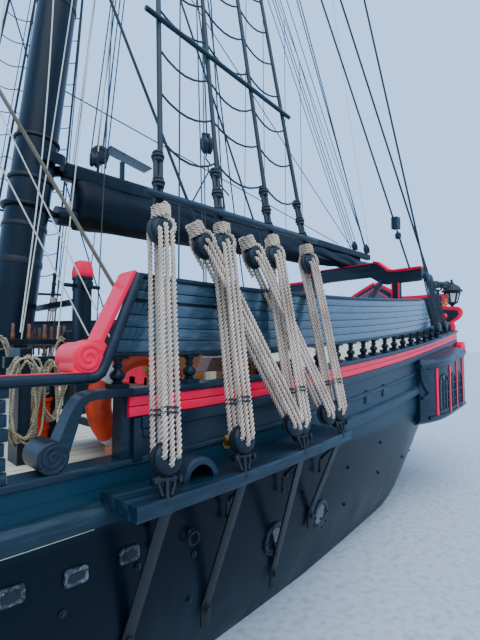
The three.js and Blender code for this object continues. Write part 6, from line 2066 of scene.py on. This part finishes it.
fore_down = [[(4.02, 0.4, 15.0), (5.11, 2.98, 3.05)], [(3.9, 0.36, 14.6), (4.85, 3.0, 3.05)]]
dark_backstays = [[(3.8, 0.1, 24.0), (-4.36, 3.38, 2.9)], [(3.5, 0.1, 27.5), (-6.35, 2.34, 2.9)]]
served = [[(3.9, 0.1, 16.3), (-3.42, 3.3, 2.9)]]
run_bars("rail_lines", both_sides(down + fore_down), 0.008, DARK, sides=5)
run_bars("pale_rail_lines", both_sides(pale_down), 0.0075, PALE, sides=5)
run_bars("fore_backstays", both_sides(dark_backstays), 0.012, TARRED, sides=6)
run_bars("fore_runners", both_sides(served), 0.014, HEMP, sides=6)
main_cap, fore_cap = mast_at("main", 20.8), mast_at("fore", 19.4)
main_truck = mast_at("main", MASTS["main"]["truck"] - 2.2) + at(0.4)
between = [[main_cap + at(0.6), fore_cap - at(0.2)], [main_truck, fore_cap + at(0.3, 0, 0.1)]]
run_bars("mast_stays", between, 0.014, TARRED, sides=6)
runner = [[(-5.35, 0.22, 17.3), (-9.6, 2.2, 4.86)], [(-9.64, 2.24, 4.66), (-9.82, 2.38, 3.95)]]
run_bars("stern_runners", both_sides(runner), 0.016, TARRED, sides=6)
run_bars("signal_halyard", [[(-6.54, 0.1, 28.0), (-12.35, 0.1, 5.13)]], 0.006, PALE, "main_boom", sides=5)
box_block = Shape().box((-9.69, 2.17, 4.68), (-9.55, 2.29, 4.9))
box_block.turned((-9.66, 2.25, 4.5), (0, 0, 1), [(0, 0.03), (0.02, 0.055), (0.1, 0.055), (0.12, 0.03)], 12)
place_pair("runner_block", box_block, BLACK, bevel=0.01)
hung_blocks("rail_blocks", [((x, s * y, z), way, size) for x, y, z, way, size in (
    (-4.47, 3.0, 4.36, (0.1, 0, 1), 1.0), (-4.38, 3.32, 3.25, (0.3, -0.1, 1), 1.3),
    (-6.3, 2.36, 3.25, (0.3, 0, 1), 1.3)) for s in (1, -1)])
hook = [[(-4.47, 3.0, 4.28), (-4.45, 3.01, 4.22), (-4.49, 3.02, 4.18), (-4.46, 3.03, 4.13),
         (-4.48, 3.03, 4.1)],
        [(-4.47, 3.0, 4.44), (-4.75, 2.4, 9.0), (-5.3, 0.5, 17.0)], [(-4.47, 3.03, 4.1), (-4.15, 3.2, 3.7)],
        [(-4.47, 3.03, 4.1), (-4.75, 3.0, 3.95)]]
run_bars("hooks_and_pendants", both_sides(hook), 0.007, IRON, sides=6)
print("lines to the rail", 2 * len(down + pale_down + fore_down))

# %% Stern stays with their deadeyes
DISC = Shape().turned((0, 0, -0.045), (0, 0, 1), [
    (0, 0.06), (0.012, 0.085), (0.03, 0.092), (0.06, 0.092), (0.078, 0.085), (0.09, 0.06)], 16)
for end, s in ENDS:
    ropes, parts, eyes = [], [], []
    for x, z_top, dx, dy in ((-10.15, 25.2, 0.37, 0.15), (-10.75, 18.46, -0.09, 0.225)):
        foot = at(x, s * (side(x) + 0.15), 2.27 + rise(x))
        head = mast_at("main", z_top) + at(dx, s * dy)
        up = (head - foot).normalized()
        low, high = foot + up * 0.2, foot + up * 1.13
        face = up.cross(at(1)).normalized()
        ahead = face.cross(up)
        ropes += [[high + up * 0.05, high + up * 1.0, head], [foot, low - up * 0.06]]
        eyes += [(low, face, 1.0, up), (high, face, 1.0, up)]
        for k in (-1, 0, 1):
            for out in (0.03, -0.03):
                parts.append([eye + up * lift + ahead * 0.06 * k + face * out
                              for eye, lift in ((low, 0.04), (high, -0.04))])
    ropes.append([(x, s * (side(x) + 0.15), 2.301 + rise(x)) for x in (-10.0, -10.95)])
    run_bars(f"stern_stays_{end}", ropes, 0.017, TARRED, sides=8,
             replaces=[f"backstays_{end}"])
    run_bars(f"stern_lanyards_{end}", parts, 0.01, DARK, sides=6)
    stand_rows(f"stern_deadeyes_{end}", eyes, DISC, BLACK)
print("lines drawn")


# %% [markdown]
# ## Fittings on the hull
# The topsides carry rough scupper plates, round lights, freeing ports under the quarter, bolt heads and a
# ring bolt. Each one lies on the hull's own surface, turned to face outward.

# %% Scuppers, lights, ports and bolts
def hull_spot(x, z, out=0.0):
    """A point of the topsides and its outward direction."""
    here = at(x, hull_half(x, z), z)
    ahead = at(0.1, hull_half(x + 0.1, z) - here.y)
    above = at(0, hull_half(x, z + 0.1) - here.y, 0.1)
    face = above.cross(ahead).normalized()
    return here + face * (out if face.y > 0 else -out), face if face.y > 0 else -face


def on_hull(outline, low, high, shape):
    """An outline in x and z, raised from the topsides."""
    return shape.loft([[hull_spot(x, z, d)[0] for x, z in outline] for d in (low, high)])


SCUPPERS = [(-3.43, 1.20), (-3.07, 1.20), (-2.71, 1.23), (-1.4, 1.24), (0.6, 1.27), (2.5, 1.36),
            (4.2, 1.5), (6.2, 1.75)]
LIGHTS = [(-5.87, 0.76), (-5.03, 0.78), (-1.6, 0.76), (0.3, 0.78), (2.2, 0.82), (5.4, 1.0), (7.0, 1.2)]
PORTS = [(-6.47, 1.80), (-7.08, 1.87), (-7.67, 1.91)]
scupper, holes, rims, glasses, lids = Shape(), Shape(), Shape(), Shape(), Shape()
for x, z in SCUPPERS:
    plate_line = [(x - 0.075, z - 0.05), (x + 0.075, z - 0.045), (x + 0.07, z + 0.05), (x - 0.07, z + 0.045)]
    on_hull(rounded(plate_line, 0.02, 2), -0.01, 0.016, scupper)
    on_hull(rounded(board(x - 0.05, x + 0.05, z - 0.026, z + 0.026), 0.02, 2), 0.0, 0.019, holes)
for x, z in LIGHTS:
    here, face = hull_spot(x, z)
    rims.turned(here - face * 0.02, face, [
        (0, 0.15), (0.035, 0.15), (0.045, 0.14), (0.045, 0.115), (0.03, 0.1), (0.0, 0.1)], 28)
    glasses.turned(here - face * 0.02, face, [(0, 0.103), (0.03, 0.103)], 24)
    for spot in ring_round(here, face.cross(at(z=1)).normalized(), at(z=1), 0.128, 8):
        rims.turned(spot + face * 0.02, face, [(0, 0.012), (0.014, 0.012), (0.018, 0.006)], 6)
for x, z in PORTS:
    square = board(x - 0.11, x + 0.11, z - 0.075, z + 0.075)
    on_hull(rounded(square, 0.02, 2), -0.01, 0.012, lids)
    on_hull(rounded([(u * 0.75 + x * 0.25, v * 0.7 + z * 0.3) for u, v in square], 0.02, 2), 0.0, 0.018, lids)
    here, face = hull_spot(x, z + 0.08)
    lids.turned(here + face * 0.012 - at(0.07), (1, 0, 0), [(0, 0.012), (0.14, 0.012)], 8)
rough_plate = painted("scupper_paint", "0d1c26", "a4b0b6", grain=2.0, roughness=0.5, run=(45, 45, 45))
place_pair("scupper_plates", scupper, rough_plate, smooth=30)
place_pair("scupper_holes", holes, IRON)
place_pair("port_rims", rims, BLACK)
place_pair("port_glasses", glasses, GLASS, slot="window_glass")
place_pair("freeing_ports", lids, BLACK, bevel=0.003)
heads = []
for x in spread(-10.5, 10.5, 42):
    for z in (0.62 + 0.08 * math.sin(3 * x), 1.05 + 0.05 * math.sin(5 * x)):
        if shake.random() < 0.45 and hull_half(x, z) > 0.5:
            here, face = hull_spot(x, z + rise(x), 0.004)
            heads.append((tuple(here), tuple(face), 0.8))
bolts("side_bolts", heads, BLACK)
ring, face = hull_spot(-3.95, 1.18, 0.03)
hoop = [ring + at(0.045 * math.cos(a), 0.02, 0.045 * math.sin(a) - 0.03) for a in angles(16)]
eye = Shape().tube(hoop, 0.009, 6, closed=True)
eye.turned(ring - face * 0.03, face, [(0, 0.03), (0.015, 0.03), (0.03, 0.014), (0.045, 0.01)], 10)
place_pair("ring_bolts", eye, IRON)
print("fittings", len(SCUPPERS), len(LIGHTS), len(PORTS), "bolts", len(heads))

# %% [markdown]
# ## Bow, yards and the rest
# The picture doesn't show the bow. It is finished as this type has it: a head knee with a scroll, rails that
# sweep up to it, chain bobstays, a martingale under the jibboom, anchors catted on each side, and two yards
# with footropes on the fore mast.

# %% Head rails, bobstays and martingale
SPRIT_HEEL, SPRIT_HEAD = at(9.3, 0, 2.75), at(19.2, 0, 5.45)
SPRIT_WAY = (SPRIT_HEAD - SPRIT_HEEL).normalized()
JIB_END = SPRIT_HEEL + SPRIT_WAY * 14.1 + at(z=0.33)


def on_sprit(s, up=0.0):
    """A place along the bowsprit."""
    return SPRIT_HEEL + SPRIT_WAY * s + at(z=up)


scroll_centre = (14.42, 3.47)
scroll = Shape()
spiral(scroll, scroll_centre, 0.158, 0.17, 0.02, 2.0, 0.04, 0.012, start=2.6, way=-1)
place_pair("head_scroll", scroll, RED, slot="red_trim", smooth=40)
rails = Shape()
for path, r in (([(10.9, side(10.9) + 0.03, 3.18), (11.9, 0.95, 3.05), (12.9, 0.45, 3.1),
                  (13.8, 0.2, 3.35)], 0.045),
                ([(11.2, side(11.2) + 0.02, 2.75), (12.1, 0.72, 2.62), (13.0, 0.35, 2.78),
                  (13.9, 0.17, 3.12)], 0.035)):
    rails.tube(smooth_path(path, 8), r, 10)
for t in (0.15, 0.4, 0.65, 0.85):
    x = 11.2 + 2.4 * t
    y = 0.95 - 0.72 * t
    rails.tube([(x, y + 0.1, 3.08 + 0.1 * t), (x + 0.04, y - 0.06, 2.66 + 0.3 * t)], 0.025, 8)
place_pair("head_rails", rails, BLACK, slot="hull_paint")
trail = smooth_path([(12.75, 2.15), (13.1, 2.45), (13.55, 2.85), (13.95, 3.2), (14.2, 3.42)], 5)
place_pair("head_gilding", Shape().tube([(x, 0.118, z) for x, z in trail], 0.022, 8), GILT)
chain_lines = [[(12.72, 0, 0.75), on_sprit(9.7, -0.18)], [(12.9, 0, 1.6), on_sprit(6.4, -0.2)]]
striker = Shape().tube([on_sprit(9.8, -0.05), on_sprit(9.6, -1.75)], [0.05, 0.035], 10)
striker_foot = on_sprit(9.6, -1.7)
martingale = [[JIB_END, striker_foot], [striker_foot, (13.2, 0.0, 1.8)]]
guys = [[on_sprit(9.7), (10.3, side(10.3) + 0.02, 2.75)], [JIB_END, (10.1, side(10.1) + 0.02, 3.0)]]
place("dolphin_striker", striker, SPAR)
run_bars("bobstays", chain_lines + martingale, 0.022, IRON, sides=6)
run_bars("bowsprit_guys", both_sides(guys), 0.014, TARRED, sides=6)
jib_stays = [[mast_at("fore", 24.0) + at(0.5), JIB_END - SPRIT_WAY * 0.15],
             [mast_at("fore", 18.6) + at(0.6), on_sprit(9.6, 0.2)]]
run_bars("jib_stays", jib_stays, 0.016, TARRED, sides=6)
print("bow dressed")

# %% Anchors, windlass and yards
for end, s in ENDS:
    anchor = at(9.35, s * (side(8.4) + 0.15), RAIL_Z + rise(9.35) - 0.06)
    palm = Shape()
    for tip_x, tip_z, way_x, way_z in ((-0.62, -0.93, 0.36, -0.45), (-0.8, 0.04, 0.18, 0.54)):
        here, wide = anchor + at(tip_x, 0, tip_z), at(0, 1)
        along = at(way_x, 0, way_z).normalized()
        palm.loft([[here + along * step + wide * w * share + along.cross(wide) * d
                    for w, d in board(-0.2, 0.2, 0, 0.02)]
                   for step, share in ((-0.2, 0.2), (-0.06, 0.6), (0.08, 0.1))])
    place(f"anchor_palms_{end}", palm, IRON)
YARDS = [
    # name, height on the mast, half the length, radius, offset from the mast's axis, rise of the lifts
    ("fore_yard", 15.5, 6.2, 0.12, 0.45, 3.6), ("fore_topsail_yard", 22.3, 4.6, 0.095, 0.73, 4.2),
]
for name, z, half, r, ahead, lift_rise in YARDS:
    centre = mast_at("fore", z) + at(ahead)
    foot_lines, stirrups, yard_bands, yard_lifts = [], [], Shape(), []
    for s in (-1, 1):
        points = [(half * 0.24, 0.0), (half * 0.3, -0.7), (half * 0.45, -0.93), (half * 0.7, -0.93),
                  (half * 0.93, 0.0)]
        foot_lines.append([centre + at(0.02, s * y, dz) for y, dz in smooth_path(points, 6)])
        stirrups += [[centre + at(0, s * y, -0.05), centre + at(-0.05, s * y, -0.93)]
                     for y in (half * 0.45, half * 0.58, half * 0.7)]
        yard_lifts.append([centre + at(0, s * half * 0.96, 0.04),
                           mast_at("fore", z + lift_rise) + at(0.64, s * 0.03)])
        for y in (half * 0.3, half * 0.6, half * 0.9):
            yard_bands.turned(centre + at(0, s * y), (0, s, 0), [
                (0, 0.01), (0, r * 1.06), (0.05, r * 1.02), (0.05, 0.01)], 14)
    jack = [centre + at(0.05, y, r + 0.03) for y in spread(-half * 0.85, half * 0.85, 8)]
    run_bars(f"{name}_footropes", foot_lines, 0.014, TARRED, name, sides=6)
    run_bars(f"{name}_lines", stirrups + yard_lifts + [jack], 0.009, DARK, name, sides=5)
    place(f"{name}_bands", yard_bands, IRON, body=name)
WINDLASS_AT = at(8.6, 0, 2.85585)
whelps = Shape()
for s in (-1, 1):
    for a in angles(8):
        here = WINDLASS_AT + at(math.cos(a), 0, math.sin(a)) * 0.185
        whelps.tube([here + at(0, s * 0.12), here + at(0, s * 0.6)], 0.022, 6)
place("windlass_whelps", whelps, BLACK, body="windlass")
print("yards and windlass dressed")

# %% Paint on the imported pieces
COATS = {
    HULL_PAINT: ["keel_and_stem", "rudder"],
    BLACK: ["head_knee", "helm_stand", "windlass_bitts", "cathead_port",
                                                      "cathead_starboard"],
    SPAR: ["bowsprit", "jibboom", "fore_yard", "fore_topsail_yard"], IRON: ["windlass_barrel"],
    BRONZE: ["screw"], VARNISH: ["companion"], TARRED: ["forestay"],
}
for coat, names in COATS.items():
    for name in names:
        NODES[name].data.materials.clear()
        NODES[name].data.materials.append(coat)
print("painted packed pieces", sum(len(names) for names in COATS.values()))
